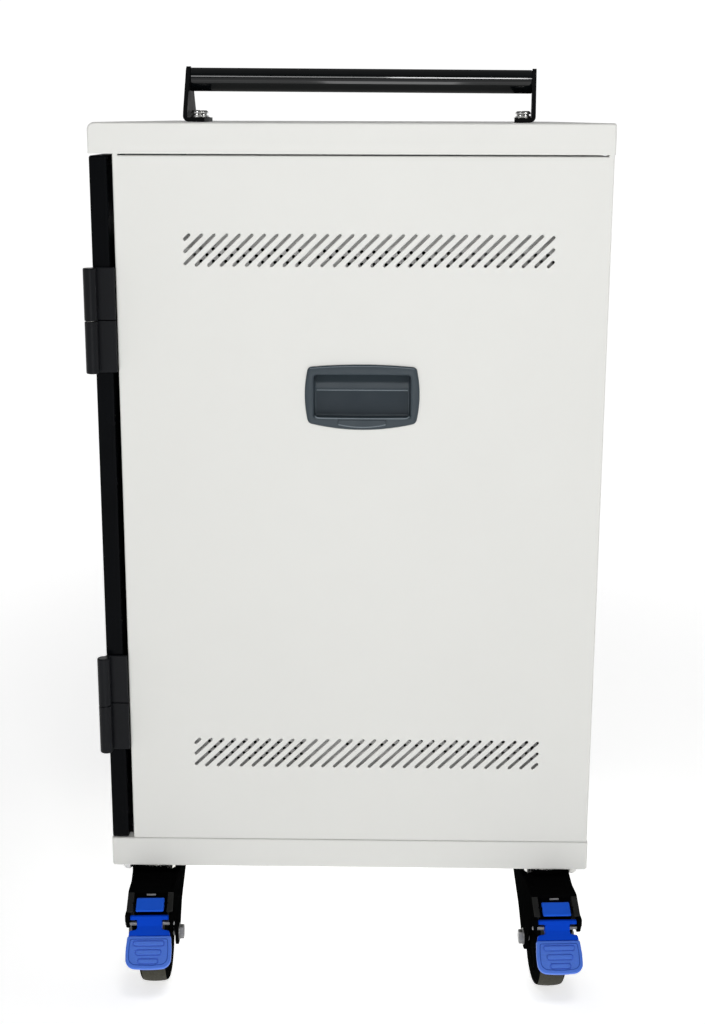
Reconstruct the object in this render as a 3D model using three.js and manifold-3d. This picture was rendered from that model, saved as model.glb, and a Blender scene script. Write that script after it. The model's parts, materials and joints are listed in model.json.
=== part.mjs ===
// Laptop charging cart: a folded sheet-metal cabinet on four swivel casters, with a hinged front door,
// a push handle on top, recessed pulls in both sides and two levels of divided device bays.
//
// Cabinet coordinates, in millimetres: x runs from the front edge of the cap (0) to the rear (490),
// y from the handle-end side (0) to the far side (600), z up from the floor.
// The whole cart is then moved so that its origin is the centre of its footprint on the floor.
import * as THREE from "three";
import { mergeVertices } from "three/addons/utils/BufferGeometryUtils.js";
import Module from "manifold-3d";

// ---------------------------------------------------------------- driving dimensions
const DEPTH = 490; // cap and base, front to rear
const WIDTH = 600; // cap and base, near side to far side
const CASTER_H = 130; // floor to underside of base
const BASE_H = 31; // base tray skirt
const CAB_H = 748; // underside of base to top of cap
const CAP_H = 28.6; // cap skirt
const SHEET = 1.5; // sheet thickness
const FRONT_OVERHANG = -15; // lock handle in front of the cap's front edge
const CENTER_X = (FRONT_OVERHANG + DEPTH) / 2;

const Z_BASE = CASTER_H;
const Z_BASE_TOP = Z_BASE + BASE_H;
const Z_TOP = CASTER_H + CAB_H;
const Z_CAP = Z_TOP - CAP_H;

const PANEL_X0 = 22.7; // side panels start behind the door
const PANEL_X1 = 489;
const PANEL_Y = 1.2; // side panels stand in from the cap and base faces
const PANEL_T = 1.2;
const RETURN = 19; // folded returns of the side panels
const PANEL_Z0 = Z_BASE_TOP + 0.4;
const PANEL_Z1 = Z_CAP - 0.4;

const SLOT_W = 3.1; // vent slots
const SLOT_PITCH = 11.84;
const SLOT_LEAN = 1.036; // sideways run for each unit of height
const SLOT_COUNT = 32;
const BAND_H = 31;
const BAND_X0 = 87.4;
const BAND_X1 = 436.6;
const BAND_TOP_UPPER = Z_TOP - 101.4;
const BAND_TOP_LOWER = Z_TOP - 606.7;

const PULL_X = 256.3; // recessed pulls
const PULL_Z = Z_TOP - 256.2;
const PULL_W = 110;
const PULL_H = 63.2;
const POCKET_W = 92.7;
const POCKET_H = 39.8;
const POCKET_DEPTH = 14;

const DOOR_X0 = 1; // door slab
const DOOR_X1 = 17.7;
const DOOR_Z0 = Z_BASE_TOP + 1;
const DOOR_Z1 = Z_CAP - 1.6;
const HINGE_X = 0; // hinge barrel axis
const HINGE_Y = -9;
const HINGE_R = 6.4;
const HINGE_Z = [Z_TOP - 183, Z_TOP - 568.4]; // split between the halves
const HINGE_HALF = 50;

const TUBE_R = 11; // push handle
const TUBE_Y = 68;
const TUBE_Z = Z_TOP + 38;
const BRACKET_X = [86.5, 420.5]; // outer faces
const BRACKET_T = 4;
const FOOT = 16;

const LINER_Y = 22;
const BAY_X0 = 40; // divided device bays
const BAY_X1 = 334;
const BAY_COUNT = 10;
const FIN_T = 2.4;
const FIN_H = 230;
const SHELF_Z = 503;
const PARTITION_X = 346;

const WHEEL_R = 50; // casters
const WHEEL_W = 30;
const WHEEL_SIDES = 22;
const TRAIL = 36;
const CASTER_X = [41, 449];
const CASTER_Y = 45;
const FRONT_CASTER_TURN = 2.4; // degrees, as they were left standing
const REAR_CASTER_TURN = 3.3;

// ---------------------------------------------------------------- materials
const paint = (color, roughness, metalness) =>
  new THREE.MeshStandardMaterial({ color, roughness, metalness });
const WHITE = paint(0xebebe8, 0.45, 0.1);
const BLACK = paint(0x121315, 0.3, 0.2);
const BLACK_SATIN = paint(0x1c1d1f, 0.5, 0.2);
const SLATE = paint(0x39424b, 0.5, 0);
const ZINC = paint(0xb9bcc0, 0.3, 0.9);
const BLUE = paint(0x1f52c8, 0.4, 0);
const TREAD = paint(0x3a3733, 0.75, 0);
const LINER = paint(0xc9cbcc, 0.5, 0.1);
const STRIP = paint(0x26282b, 0.5, 0);

// ---------------------------------------------------------------- solids
const wasm = await Module();
wasm.setup();

function solid(geometry) {
  const bare = new THREE.BufferGeometry().setAttribute(
    "position",
    geometry.getAttribute("position"),
  );
  if (geometry.index) bare.setIndex(geometry.index);
  const merged = mergeVertices(bare, 1e-4);
  return new wasm.Manifold(
    new wasm.Mesh({
      numProp: 3,
      vertProperties: merged.attributes.position.array,
      triVerts: new Uint32Array(merged.index.array),
    }),
  );
}
const union = (...pieces) => pieces.reduce((a, b) => a.add(b));
const cut = (body, ...tools) => tools.reduce((a, b) => a.subtract(b), body);

function geometryOf(manifold) {
  const m = manifold.getMesh();
  const positions = new Float32Array(m.numVert * 3);
  for (let i = 0; i < m.numVert; i++)
    positions.set(m.vertProperties.subarray(i * m.numProp, i * m.numProp + 3), i * 3);
  const g = new THREE.BufferGeometry()
    .setAttribute("position", new THREE.BufferAttribute(positions, 3))
    .setIndex(new THREE.BufferAttribute(new Uint32Array(m.triVerts), 1));
  g.computeVertexNormals();
  return g;
}

const box = (x0, x1, y0, y1, z0, z1) =>
  solid(
    new THREE.BoxGeometry(x1 - x0, y1 - y0, z1 - z0).translate(
      (x0 + x1) / 2,
      (y0 + y1) / 2,
      (z0 + z1) / 2,
    ),
  );

const AX = new THREE.Vector3(1, 0, 0);
const AY = new THREE.Vector3(0, 1, 0);
const AZ = new THREE.Vector3(0, 0, 1);
const shapeOf = (points, holes = []) => {
  const s = new THREE.Shape(points.map(([u, v]) => new THREE.Vector2(u, v)));
  for (const h of holes) s.holes.push(new THREE.Path(h.map(([u, v]) => new THREE.Vector2(u, v))));
  return s;
};
const extrude = (shape, depth) =>
  new THREE.ExtrudeGeometry(shape, { depth, bevelEnabled: false, curveSegments: 8 });
// outline in y, z, swept along x
const prismX = (points, x0, x1, holes) =>
  solid(
    extrude(shapeOf(points, holes), x1 - x0).applyMatrix4(
      new THREE.Matrix4().makeBasis(AY, AZ, AX).setPosition(x0, 0, 0),
    ),
  );
// outline in x, z, swept along y
const prismY = (points, y0, y1, holes) =>
  solid(
    extrude(shapeOf(points, holes), y1 - y0).applyMatrix4(
      new THREE.Matrix4().makeBasis(AX, AZ, AY.clone().negate()).setPosition(0, y1, 0),
    ),
  );
// outline in x, y, swept along z
const prismZ = (points, z0, z1, holes) =>
  solid(extrude(shapeOf(points, holes), z1 - z0).translate(0, 0, z0));

const cylinder = (r, length, n) => new THREE.CylinderGeometry(r, r, length, n, 1);
const cylX = (r, x0, x1, y, z, n = 12) =>
  solid(cylinder(r, x1 - x0, n).rotateZ(-Math.PI / 2).translate((x0 + x1) / 2, y, z));
const cylZ = (r, x, y, z0, z1, n = 12) =>
  solid(cylinder(r, z1 - z0, n).rotateX(Math.PI / 2).translate(x, y, (z0 + z1) / 2));

const arc = (cu, cv, r, from, to, n) => {
  const points = [];
  for (let i = 0; i <= n; i++) {
    const a = ((from + ((to - from) * i) / n) * Math.PI) / 180;
    points.push([cu + r * Math.cos(a), cv + r * Math.sin(a)]);
  }
  return points;
};

// ---------------------------------------------------------------- scene graph
const cart = new THREE.Group();
cart.position.set(-CENTER_X, -WIDTH / 2, 0);
function part(name, manifold, material, parent = cart) {
  const mesh = new THREE.Mesh(geometryOf(manifold), material);
  mesh.name = name;
  parent.add(mesh);
  return mesh;
}
// the same solid seen in the mirror plane halfway between the two sides
const mirrored = (manifold) => {
  const m = manifold.getMesh();
  const v = new Float32Array(m.numVert * 3);
  for (let i = 0; i < m.numVert; i++) {
    v[3 * i] = m.vertProperties[i * m.numProp];
    v[3 * i + 1] = WIDTH - m.vertProperties[i * m.numProp + 1];
    v[3 * i + 2] = m.vertProperties[i * m.numProp + 2];
  }
  const t = new Uint32Array(m.triVerts);
  for (let i = 0; i < t.length; i += 3) [t[i + 1], t[i + 2]] = [t[i + 2], t[i + 1]];
  return new wasm.Manifold(new wasm.Mesh({ numProp: 3, vertProperties: v, triVerts: t }));
};

// ---------------------------------------------------------------- vent slots
// One band of leaning slots between u0 and u1, clipped at both ends of the band.
function slotBand(u0, u1, top, first, count) {
  const holes = [];
  const r = SLOT_W / 2;
  const run = Math.hypot(1, SLOT_LEAN);
  const du = SLOT_LEAN / run; // along the slot, upwards
  const dv = 1 / run;
  for (let k = 0; k < count; k++) {
    const ref = first + SLOT_PITCH * k; // where the slot's line crosses 6.4 below the band's top
    const at = (v) => ref + SLOT_LEAN * (v - (top - 6.4));
    const vAt = (u) => top - 6.4 + (u - ref) / SLOT_LEAN;
    const v1 = Math.min(top - r, vAt(u1 - r));
    const v0 = Math.max(top - BAND_H + r, vAt(u0 + r));
    if (v1 - v0 < 1) continue;
    const a = [at(v0), v0];
    const b = [at(v1), v1];
    holes.push([
      [a[0] + r * dv, a[1] - r * du],
      [b[0] + r * dv, b[1] - r * du],
      [b[0] + r * du, b[1] + r * dv],
      [b[0] - r * dv, b[1] + r * du],
      [a[0] - r * dv, a[1] + r * du],
      [a[0] - r * du, a[1] - r * dv],
    ]);
  }
  return holes;
}

// ---------------------------------------------------------------- base tray, cap, panels
const ring = (inset, lip, z0, z1) =>
  prismZ(
    [
      [inset, inset],
      [DEPTH - inset, inset],
      [DEPTH - inset, WIDTH - inset],
      [inset, WIDTH - inset],
    ],
    z0,
    z1,
    [
      [
        [inset + lip, inset + lip],
        [inset + lip, WIDTH - inset - lip],
        [DEPTH - inset - lip, WIDTH - inset - lip],
        [DEPTH - inset - lip, inset + lip],
      ],
    ],
  );
part(
  "base_tray",
  union(
    box(0, DEPTH, 0, WIDTH, Z_BASE, Z_BASE + SHEET),
    ring(0, SHEET, Z_BASE + SHEET / 2, Z_BASE_TOP),
    ring(0, 14, Z_BASE_TOP - SHEET, Z_BASE_TOP),
  ),
  WHITE,
);

const FOOT_SCREWS = [];
for (const x of [98.5, 408.5]) for (const y of [39, 98]) FOOT_SCREWS.push([x, y]);
{
  const R = 6;
  const outer = [
    [0, Z_CAP],
    ...arc(R, Z_TOP - R, R, 180, 90, 4),
    ...arc(DEPTH - 2, Z_TOP - 2, 2, 90, 0, 2),
    [DEPTH, Z_CAP],
  ].reverse();
  const inner = [
    [SHEET, Z_CAP - 5],
    [SHEET, Z_TOP - R],
    [R, Z_TOP - SHEET],
    [DEPTH - SHEET, Z_TOP - SHEET],
    [DEPTH - SHEET, Z_CAP - 5],
  ].reverse();
  part(
    "top_cap",
    cut(
      prismY(outer, 0, WIDTH),
      prismY(inner, SHEET, WIDTH - SHEET),
      ...FOOT_SCREWS.map(([x, y]) => cylZ(3, x, y, Z_TOP - 10, Z_TOP + 10, 10)),
    ),
    WHITE,
  );
}

const rect = (u0, u1, v0, v1) => [
  [u0, v0],
  [u1, v0],
  [u1, v1],
  [u0, v1],
];
const sidePanel = union(
  prismY(rect(PANEL_X0, PANEL_X1, PANEL_Z0, PANEL_Z1), PANEL_Y, PANEL_Y + PANEL_T, [
    ...slotBand(BAND_X0, BAND_X1, BAND_TOP_UPPER, BAND_X0 + 0.4, SLOT_COUNT),
    ...slotBand(BAND_X0, BAND_X1, BAND_TOP_LOWER, BAND_X0 + 0.4, SLOT_COUNT),
    rect(
      PULL_X - POCKET_W / 2 - 2.2,
      PULL_X + POCKET_W / 2 + 2.2,
      PULL_Z - POCKET_H / 2 - 2.2,
      PULL_Z + POCKET_H / 2 + 2.2,
    ),
  ]),
  box(PANEL_X0, PANEL_X0 + PANEL_T, PANEL_Y, PANEL_Y + RETURN, PANEL_Z0, PANEL_Z1),
  box(PANEL_X1 - PANEL_T, PANEL_X1, PANEL_Y, PANEL_Y + 16, PANEL_Z0, PANEL_Z1),
);
part("side_panel_near", sidePanel, WHITE);
part("side_panel_far", mirrored(sidePanel), WHITE);

const liner = box(32, 485, LINER_Y, LINER_Y + 1.2, Z_BASE_TOP + 2.4, Z_CAP - 1);
part("liner_near", liner, LINER);
part("liner_far", mirrored(liner), LINER);

// rear panel, inside the side panels' rear returns, with a vent band and the inlet's cut-out
const INLET_Y = 130;
const INLET_Z = 232;
{
  const hole = (y0, y1, z0, z1) => rect(y0, y1, z0, z1);
  part(
    "rear_panel",
    prismX(
      rect(3, WIDTH - 3, PANEL_Z0, PANEL_Z1),
      485.8,
      487.3,
      [
        ...slotBand(180, 422, BAND_TOP_UPPER, 180.4, 23),
        hole(INLET_Y - 21.5, INLET_Y + 21.5, INLET_Z - 31.5, INLET_Z + 31.5),
      ],
    ),
    WHITE,
  );
}

// ---------------------------------------------------------------- inside
part("bottom_deck", box(26, 485, LINER_Y - 1, WIDTH - LINER_Y + 1, Z_BASE_TOP + 0.5, Z_BASE_TOP + 2), WHITE);
part(
  "shelf_upper",
  union(
    box(36, PARTITION_X - 1, LINER_Y + 2, WIDTH - LINER_Y - 2, SHELF_Z, SHELF_Z + SHEET),
    box(36, 36 + SHEET, LINER_Y + 2, WIDTH - LINER_Y - 2, SHELF_Z - 16, SHELF_Z + SHEET),
  ),
  WHITE,
);
part(
  "partition_panel",
  prismX(
    rect(LINER_Y + 2, WIDTH - LINER_Y - 2, Z_BASE_TOP + 2.4, Z_CAP - 1),
    PARTITION_X,
    PARTITION_X + SHEET,
    [rect(220, 380, 430, 458), rect(220, 380, 770, 798)],
  ),
  WHITE,
);
function rack(z) {
  const y0 = LINER_Y + 6;
  const y1 = WIDTH - LINER_Y - 6;
  const pieces = [box(BAY_X0, BAY_X1, y0 - 2, y1 + 2, z, z + 2)];
  for (let k = 0; k <= BAY_COUNT; k++) {
    const y = y0 + ((y1 - y0) * k) / BAY_COUNT;
    pieces.push(
      prismY(
        [
          [BAY_X0 + 2, z + 1],
          [BAY_X1 - 2, z + 1],
          [BAY_X1 - 2, z + FIN_H],
          [BAY_X0 + 52, z + FIN_H],
          [BAY_X0 + 17, z + FIN_H - 14],
          [BAY_X0 + 2, z + FIN_H - 52],
        ],
        y - FIN_T / 2,
        y + FIN_T / 2,
      ),
    );
  }
  return union(...pieces);
}
part("divider_rack_lower", rack(Z_BASE_TOP + 2.4), STRIP);
part("divider_rack_upper", rack(SHELF_Z + SHEET + 0.3), STRIP);
function strip(z) {
  return union(
    box(PARTITION_X + 4, PARTITION_X + 42, 80, 520, z, z + 46),
    box(PARTITION_X + SHEET + 0.3, PARTITION_X + 6, 64, 536, z + 10, z + 36),
  );
}
part("power_strip_lower", strip(300), STRIP);
part("power_strip_upper", strip(640), STRIP);

// mains inlet with a rocker switch above it, in one flush module
const INLET_X = 489.4;
part(
  "inlet_socket",
  cut(
    union(
      box(487.6, INLET_X, INLET_Y - 26, INLET_Y + 26, INLET_Z - 36, INLET_Z + 36),
      box(458, 488, INLET_Y - 21, INLET_Y + 21, INLET_Z - 31, INLET_Z + 31),
    ),
    // shaped plug recess, and the switch's well
    prismX(
      [
        [INLET_Y - 12.5, INLET_Z - 22],
        [INLET_Y + 12.5, INLET_Z - 22],
        [INLET_Y + 12.5, INLET_Z - 10],
        [INLET_Y + 8.5, INLET_Z - 5],
        [INLET_Y - 8.5, INLET_Z - 5],
        [INLET_Y - 12.5, INLET_Z - 10],
      ],
      471,
      500,
    ),
    box(474, 500, INLET_Y - 14, INLET_Y + 14, INLET_Z + 7, INLET_Z + 29),
  ),
  STRIP,
);
// rocker: a shallow V seen from the side, hung on its middle and tipped to its off side
const ROCKER_X = 484;
const ROCKER_Z = INLET_Z + 18;
const ROCKER_TIP = 7; // degrees either side of square
{
  const c = Math.cos(THREE.MathUtils.degToRad(ROCKER_TIP));
  const s = Math.sin(THREE.MathUtils.degToRad(ROCKER_TIP));
  part(
    "rocker_switch",
    prismY(
      [
        [-6, -5],
        [0, -8.8],
        [4.8, -8.6],
        [3.2, 0],
        [4.8, 8.6],
        [0, 8.8],
        [-6, 5],
      ].map(([x, z]) => [ROCKER_X + c * x - s * z, ROCKER_Z + s * x + c * z]),
      INLET_Y - 13.2,
      INLET_Y + 13.2,
    ),
    BLACK_SATIN,
  );
}

// ---------------------------------------------------------------- recessed pulls
{
  // bezel outline with all four sides bowed out and the corners rounded
  const w = PULL_W / 2;
  const h = PULL_H / 2;
  const outline = [];
  const n = 28;
  for (let i = 0; i < n; i++) {
    const a = (2 * Math.PI * (i + 0.5)) / n;
    const c = Math.cos(a);
    const s = Math.sin(a);
    const q = Math.pow(Math.pow(Math.abs(c), 5) + Math.pow(Math.abs(s), 5), -1 / 5);
    outline.push([PULL_X + w * c * q, PULL_Z + h * s * q]);
  }
  const px = POCKET_W / 2;
  const pz = POCKET_H / 2;
  const y0 = PANEL_Y - 2.6;
  const pull = cut(
    union(
      prismY(outline, y0, PANEL_Y - 0.3),
      box(PULL_X - px - 1.8, PULL_X + px + 1.8, PANEL_Y - 1, y0 + POCKET_DEPTH + 4, PULL_Z - pz - 1.8, PULL_Z + pz + 1.8),
    ),
    box(PULL_X - px, PULL_X + px, y0 - 5, y0 + POCKET_DEPTH + 2, PULL_Z - pz, PULL_Z + pz),
  );
  part("pull_handle_near", pull, SLATE);
  part("pull_handle_far", mirrored(pull), SLATE);
}

// ---------------------------------------------------------------- push handle
{
  const outline = [
    [TUBE_Y - 40, Z_TOP + 0.3],
    [TUBE_Y + 40, Z_TOP + 0.3],
    [TUBE_Y + 40, Z_TOP + 6],
    ...arc(TUBE_Y, TUBE_Z, 13, 20, 160, 8),
    [TUBE_Y - 40, Z_TOP + 6],
  ];
  const bracket = (x, side) => {
    const near = Math.min(x, x + side * BRACKET_T);
    const foot = Math.min(x, x + side * (BRACKET_T + FOOT));
    return cut(
      union(
        prismX(outline, near, near + BRACKET_T),
        box(foot, foot + BRACKET_T + FOOT, TUBE_Y - 40, TUBE_Y + 40, Z_TOP + 0.3, Z_TOP + 0.3 + BRACKET_T),
      ),
      ...FOOT_SCREWS.map(([sx, sy]) => cylZ(3, sx, sy, Z_TOP - 10, Z_TOP + 20, 10)),
    );
  };
  part("handle_bracket_front", bracket(BRACKET_X[0], 1), BLACK_SATIN);
  part("handle_bracket_rear", bracket(BRACKET_X[1], -1), BLACK_SATIN);
  part(
    "handle_tube",
    cylX(TUBE_R, BRACKET_X[0] + BRACKET_T + 0.2, BRACKET_X[1] - BRACKET_T - 0.2, TUBE_Y, TUBE_Z, 20),
    BLACK,
  );
  const names = ["front_near", "front_far", "rear_near", "rear_far"];
  FOOT_SCREWS.forEach(([x, y], i) => {
    const z = Z_TOP + 0.3 + BRACKET_T + 0.2;
    part(
      "handle_screw_" + names[i],
      union(
        cylZ(2.5, x, y, z - 12, z + 1, 8),
        solid(
          new THREE.LatheGeometry(
            [
              new THREE.Vector2(0, 0),
              new THREE.Vector2(5.2, 0),
              new THREE.Vector2(5.2, 1.6),
              new THREE.Vector2(3.4, 3.4),
              new THREE.Vector2(0, 3.8),
            ],
            12,
          )
            .rotateX(Math.PI / 2)
            .translate(x, y, z),
        ),
      ),
      ZINC,
    );
  });
}

// ---------------------------------------------------------------- door, hinges and lock
const LOCK_Y = 548;
const LOCK_Z = 505;
{
  const y0 = 0.4;
  const y1 = WIDTH - 0.4;
  part(
    "door_panel",
    cut(
      box(DOOR_X0, DOOR_X1, y0, y1, DOOR_Z0, DOOR_Z1),
      box(DOOR_X0 + SHEET, DOOR_X1 - SHEET, y0 + SHEET, y1 - SHEET, DOOR_Z0 + SHEET, DOOR_Z1 - SHEET),
      box(DOOR_X0 + SHEET, DOOR_X1 + 5, y0 + 16, y1 - 16, DOOR_Z0 + 16, DOOR_Z1 - 16),
      cylX(6.5, DOOR_X0 - 5, DOOR_X0 + 10, LOCK_Y, LOCK_Z, 16),
    ),
    BLACK,
  );

  ["upper", "lower"].forEach((level, i) => {
    const z = HINGE_Z[i];
    const PIN_R = 3;
    const leafPlate = (z0, z1) => box(3.2, 22.2, -3, 0, z0, z1);
    const knuckle = (z0, z1) =>
      union(cylZ(HINGE_R, HINGE_X, HINGE_Y, z0, z1, 16), box(0.4, 6, HINGE_Y, -0.6, z0, z1));
    // door half: knuckle over the pin, plate on the door's edge
    part(
      "hinge_door_leaf_" + level,
      cut(
        union(knuckle(z + 0.4, z + HINGE_HALF), leafPlate(z + 0.4, z + HINGE_HALF)),
        cylZ(PIN_R + 0.3, HINGE_X, HINGE_Y, z - 5, z + HINGE_HALF - 4, 12),
      ),
      BLACK_SATIN,
    );
    // body half: knuckle, plate, and a tab folded into the gap behind the door onto the cabinet's front return
    part(
      "hinge_body_leaf_" + level,
      cut(
        union(
          knuckle(z - HINGE_HALF, z - 0.4),
          leafPlate(z - HINGE_HALF, z - 0.4),
          box(18.4, 22.2, -3, PANEL_Y + RETURN - 2, z - HINGE_HALF, z - 0.4),
        ),
        cylZ(PIN_R + 0.3, HINGE_X, HINGE_Y, z - HINGE_HALF + 4, z + 5, 12),
      ),
      BLACK_SATIN,
    );
    part(
      "hinge_pin_" + level,
      cylZ(PIN_R, HINGE_X, HINGE_Y, z - HINGE_HALF + 4.3, z + HINGE_HALF - 4.4, 12),
      ZINC,
    );
  });

  part(
    "lock_escutcheon",
    cut(
      prismX(
        [
          ...arc(LOCK_Y, LOCK_Z + 6, 17, 0, 180, 8),
          ...arc(LOCK_Y, LOCK_Z - 48, 17, 180, 360, 8),
        ],
        DOOR_X0 - 3.3,
        DOOR_X0 - 0.3,
      ),
      cylX(6.5, -20, 5, LOCK_Y, LOCK_Z, 16),
    ),
    BLACK_SATIN,
  );
  // quarter-turn handle on its spindle, hanging down when unlocked
  part(
    "lock_handle",
    union(
      cylX(5.9, DOOR_X0 - 11, 25, LOCK_Y, LOCK_Z, 16),
      cylX(14, DOOR_X0 - 11, DOOR_X0 - 3.7, LOCK_Y, LOCK_Z, 20),
      prismX(
        [
          ...arc(LOCK_Y, LOCK_Z, 11, 0, 180, 6),
          ...arc(LOCK_Y, LOCK_Z - 38, 8, 180, 360, 6),
        ],
        FRONT_OVERHANG,
        DOOR_X0 - 9,
      ),
    ),
    BLACK_SATIN,
  );
  // cam that swings behind the far side panel's front return
  part(
    "lock_cam",
    union(
      prismX(
        [...arc(LOCK_Y, LOCK_Z, 10, 0, 180, 6), ...arc(LOCK_Y, LOCK_Z - 36, 8, 180, 360, 6)],
        25.3,
        28.3,
      ),
      cylX(7, 28, 31, LOCK_Y, LOCK_Z, 6),
    ),
    ZINC,
  );
}

// ---------------------------------------------------------------- casters
// Local frame: swivel axis at x = y = 0, the wheel trails towards -y, z up from the floor.
function caster(name, x, y, turn) {
  const g = new THREE.Group();
  g.position.set(x, y, 0);
  g.rotation.z = THREE.MathUtils.degToRad(turn);
  cart.add(g);

  part(
    "caster_plate_" + name,
    union(
      box(x - 38, x + 38, y - 33, y + 33, CASTER_H - 3.6, CASTER_H - 0.4),
      cylZ(22, x, y, 117.8, CASTER_H - 2, 16),
      cylZ(5.4, x, y, 104, 119, 10),
      cylZ(9.4, x, y, 103, 109.6, 10),
    ),
    BLACK_SATIN,
  );

  const legIn = 20.3;
  const legOut = 23.5;
  const leg = [
    [-48, 115],
    [-74, 117.5],
    [-103, 104],
    [-103, 91],
    [-97, 87.5],
    [-70, 84],
    ...arc(-TRAIL, WHEEL_R, 13, 175, 300, 6),
    [6, 66],
    [27, 96],
    [27, 115],
  ];
  const PEDAL_Y = -98;
  const PEDAL_Z = 93;
  const REL_Y = -89;
  const REL_Z = 109.3;
  const side = (s) => {
    const a = Math.min(s * legIn, s * legOut);
    const c = Math.min(s * 17.3, s * legOut);
    return union(
      prismX(leg, a, a + legOut - legIn),
      prismX(
        [
          [-77, 117],
          [-99, 107],
          [-99, 105.2],
          [-90, 104.5],
          [-88, 89],
          [-80, 86],
          [-74, 112],
        ],
        c,
        c + legOut - 17.3,
      ),
    );
  };
  part(
    "caster_fork_" + name,
    union(
      cut(
        union(
          side(1),
          side(-1),
          prismZ(
            [
              [-legOut, -50],
              [legOut, -50],
              [legOut, 14],
              [15, 27],
              [-15, 27],
              [-legOut, 14],
            ],
            110.4,
            115,
          ),
          prismX(
            [
              [-48, 111.5],
              [-48, 115],
              [-73, 117.4],
              [-75, 113.5],
            ],
            -20.6,
            20.6,
          ),
          cylZ(21, 0, 0, 114, 117.4, 16),
        ),
        cylZ(6, 0, 0, 100, 120, 10),
        cylX(4.4, -40, 40, -TRAIL, WHEEL_R, 10),
      ),
      cylX(2.4, -24.6, 24.6, PEDAL_Y, PEDAL_Z, 8),
      cylX(1.9, -20, 20, REL_Y, REL_Z, 8),
    ),
    BLACK,
    g,
  );

  // wheel: a flat of the rim is turned to the floor, so the rim's corners lie a little outside its flats
  const R = WHEEL_R / Math.cos(Math.PI / WHEEL_SIDES);
  const W = WHEEL_W / 2;
  const profile = [
    [4.6, -17.5],
    [12, -17.5],
    [13, -11],
    [33, -11],
    [35, -W],
    [46, -W],
    [R, -W + 6],
    [R, W - 6],
    [46, W],
    [35, W],
    [33, 11],
    [13, 11],
    [12, 17.5],
    [4.6, 17.5],
    [4.6, -17.5],
  ].map(([r, h]) => new THREE.Vector2(r, h));
  part(
    "caster_wheel_" + name,
    solid(
      new THREE.LatheGeometry(profile, WHEEL_SIDES, Math.PI / WHEEL_SIDES)
        .rotateZ(-Math.PI / 2)
        .translate(0, -TRAIL, WHEEL_R),
    ),
    TREAD,
    g,
  );
  part(
    "caster_axle_" + name,
    union(
      cylX(4, -25, 25, -TRAIL, WHEEL_R, 10),
      cylX(7.4, 23.9, 29, -TRAIL, WHEEL_R, 6),
      cylX(7.4, -29, -23.9, -TRAIL, WHEEL_R, 6),
    ),
    ZINC,
    g,
  );

  part(
    "brake_pedal_" + name,
    cut(
      union(
        cylX(5, -12.6, 12.6, PEDAL_Y, PEDAL_Z, 12),
        prismX(
          [
            [-99.5, 97],
            [-99, 102.8],
            [-101.6, 102.6],
            [-103.6, 92],
            [-108, 86.5],
            [-106, 80],
            [-100, 88],
          ],
          -12.6,
          12.6,
        ),
        prismX(
          [
            [-98.6, 98.5],
            [-98.4, 102.7],
            [-101.6, 102.6],
            [-102.4, 98.5],
          ],
          -19.4,
          19.4,
        ),
        prismX(
          [
            [-105, 87],
            [-108.5, 86],
            [-131, 64],
            [-132.3, 60.5],
            [-130, 58.5],
            [-107, 78.5],
          ],
          -23,
          23,
        ),
      ),
      cylX(2.8, -30, 30, PEDAL_Y, PEDAL_Z, 8),
    ),
    BLUE,
    g,
  );
  part(
    "brake_release_" + name,
    cut(
      prismX(
        [
          [-82, 107],
          [-82.5, 113],
          [-86, 114.2],
          [-100, 107.2],
          [-100.5, 105.6],
          [-96, 104.9],
          [-88, 105],
        ],
        -14,
        14,
      ),
      cylX(2.3, -30, 30, REL_Y, REL_Z, 8),
    ),
    BLUE,
    g,
  );
}
caster("front_near", CASTER_X[0], CASTER_Y, FRONT_CASTER_TURN);
caster("rear_near", CASTER_X[1], CASTER_Y, REAR_CASTER_TURN);
caster("front_far", CASTER_X[0], WIDTH - CASTER_Y, 180 - FRONT_CASTER_TURN);
caster("rear_far", CASTER_X[1], WIDTH - CASTER_Y, 180 - REAR_CASTER_TURN);

export default cart;
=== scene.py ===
"""Looks of the laptop charging cart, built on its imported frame.

Lengths in this script are millimetres in cabinet coordinates: X from the cap's front edge to the rear,
Y from the handle-end side to the far side, Z up from the floor. at() turns them into the frame's metres.
"""

import json
import math

import bmesh
import bpy
from mathutils import Matrix, Vector
from mathutils.geometry import delaunay_2d_cdt


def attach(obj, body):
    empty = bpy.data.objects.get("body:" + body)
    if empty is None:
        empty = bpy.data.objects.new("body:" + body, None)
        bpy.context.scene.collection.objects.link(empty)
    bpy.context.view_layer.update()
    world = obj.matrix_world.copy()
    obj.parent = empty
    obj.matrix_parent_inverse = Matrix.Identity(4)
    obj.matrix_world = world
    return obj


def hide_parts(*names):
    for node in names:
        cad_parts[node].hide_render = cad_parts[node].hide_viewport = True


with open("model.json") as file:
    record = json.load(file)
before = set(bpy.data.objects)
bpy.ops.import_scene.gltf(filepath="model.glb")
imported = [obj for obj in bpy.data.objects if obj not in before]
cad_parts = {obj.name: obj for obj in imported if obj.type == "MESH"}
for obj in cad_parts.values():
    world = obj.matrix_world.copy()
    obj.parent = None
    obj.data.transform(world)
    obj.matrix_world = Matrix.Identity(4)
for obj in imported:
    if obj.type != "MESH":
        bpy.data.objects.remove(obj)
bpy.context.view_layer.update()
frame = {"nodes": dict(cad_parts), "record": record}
NODES = frame["nodes"]
RECORD = frame["record"]
BODY = {n: b for b, members in RECORD["behaviour"]["bodies"].items() for n in members}
SLOT = {s["node"]: s["material_slot"] for s in RECORD["subparts"]}

CENTER_X, CENTER_Y = 237.5, 300.0
WIDTH, DEPTH = 600.0, 490.0
Z_TOP, Z_CAP, Z_BASE, Z_BASE_TOP = 878.0, 849.4, 130.0, 161.0


def at(x, y, z):
    return Vector(((x - CENTER_X) / 1000, (y - CENTER_Y) / 1000, z / 1000))


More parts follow.
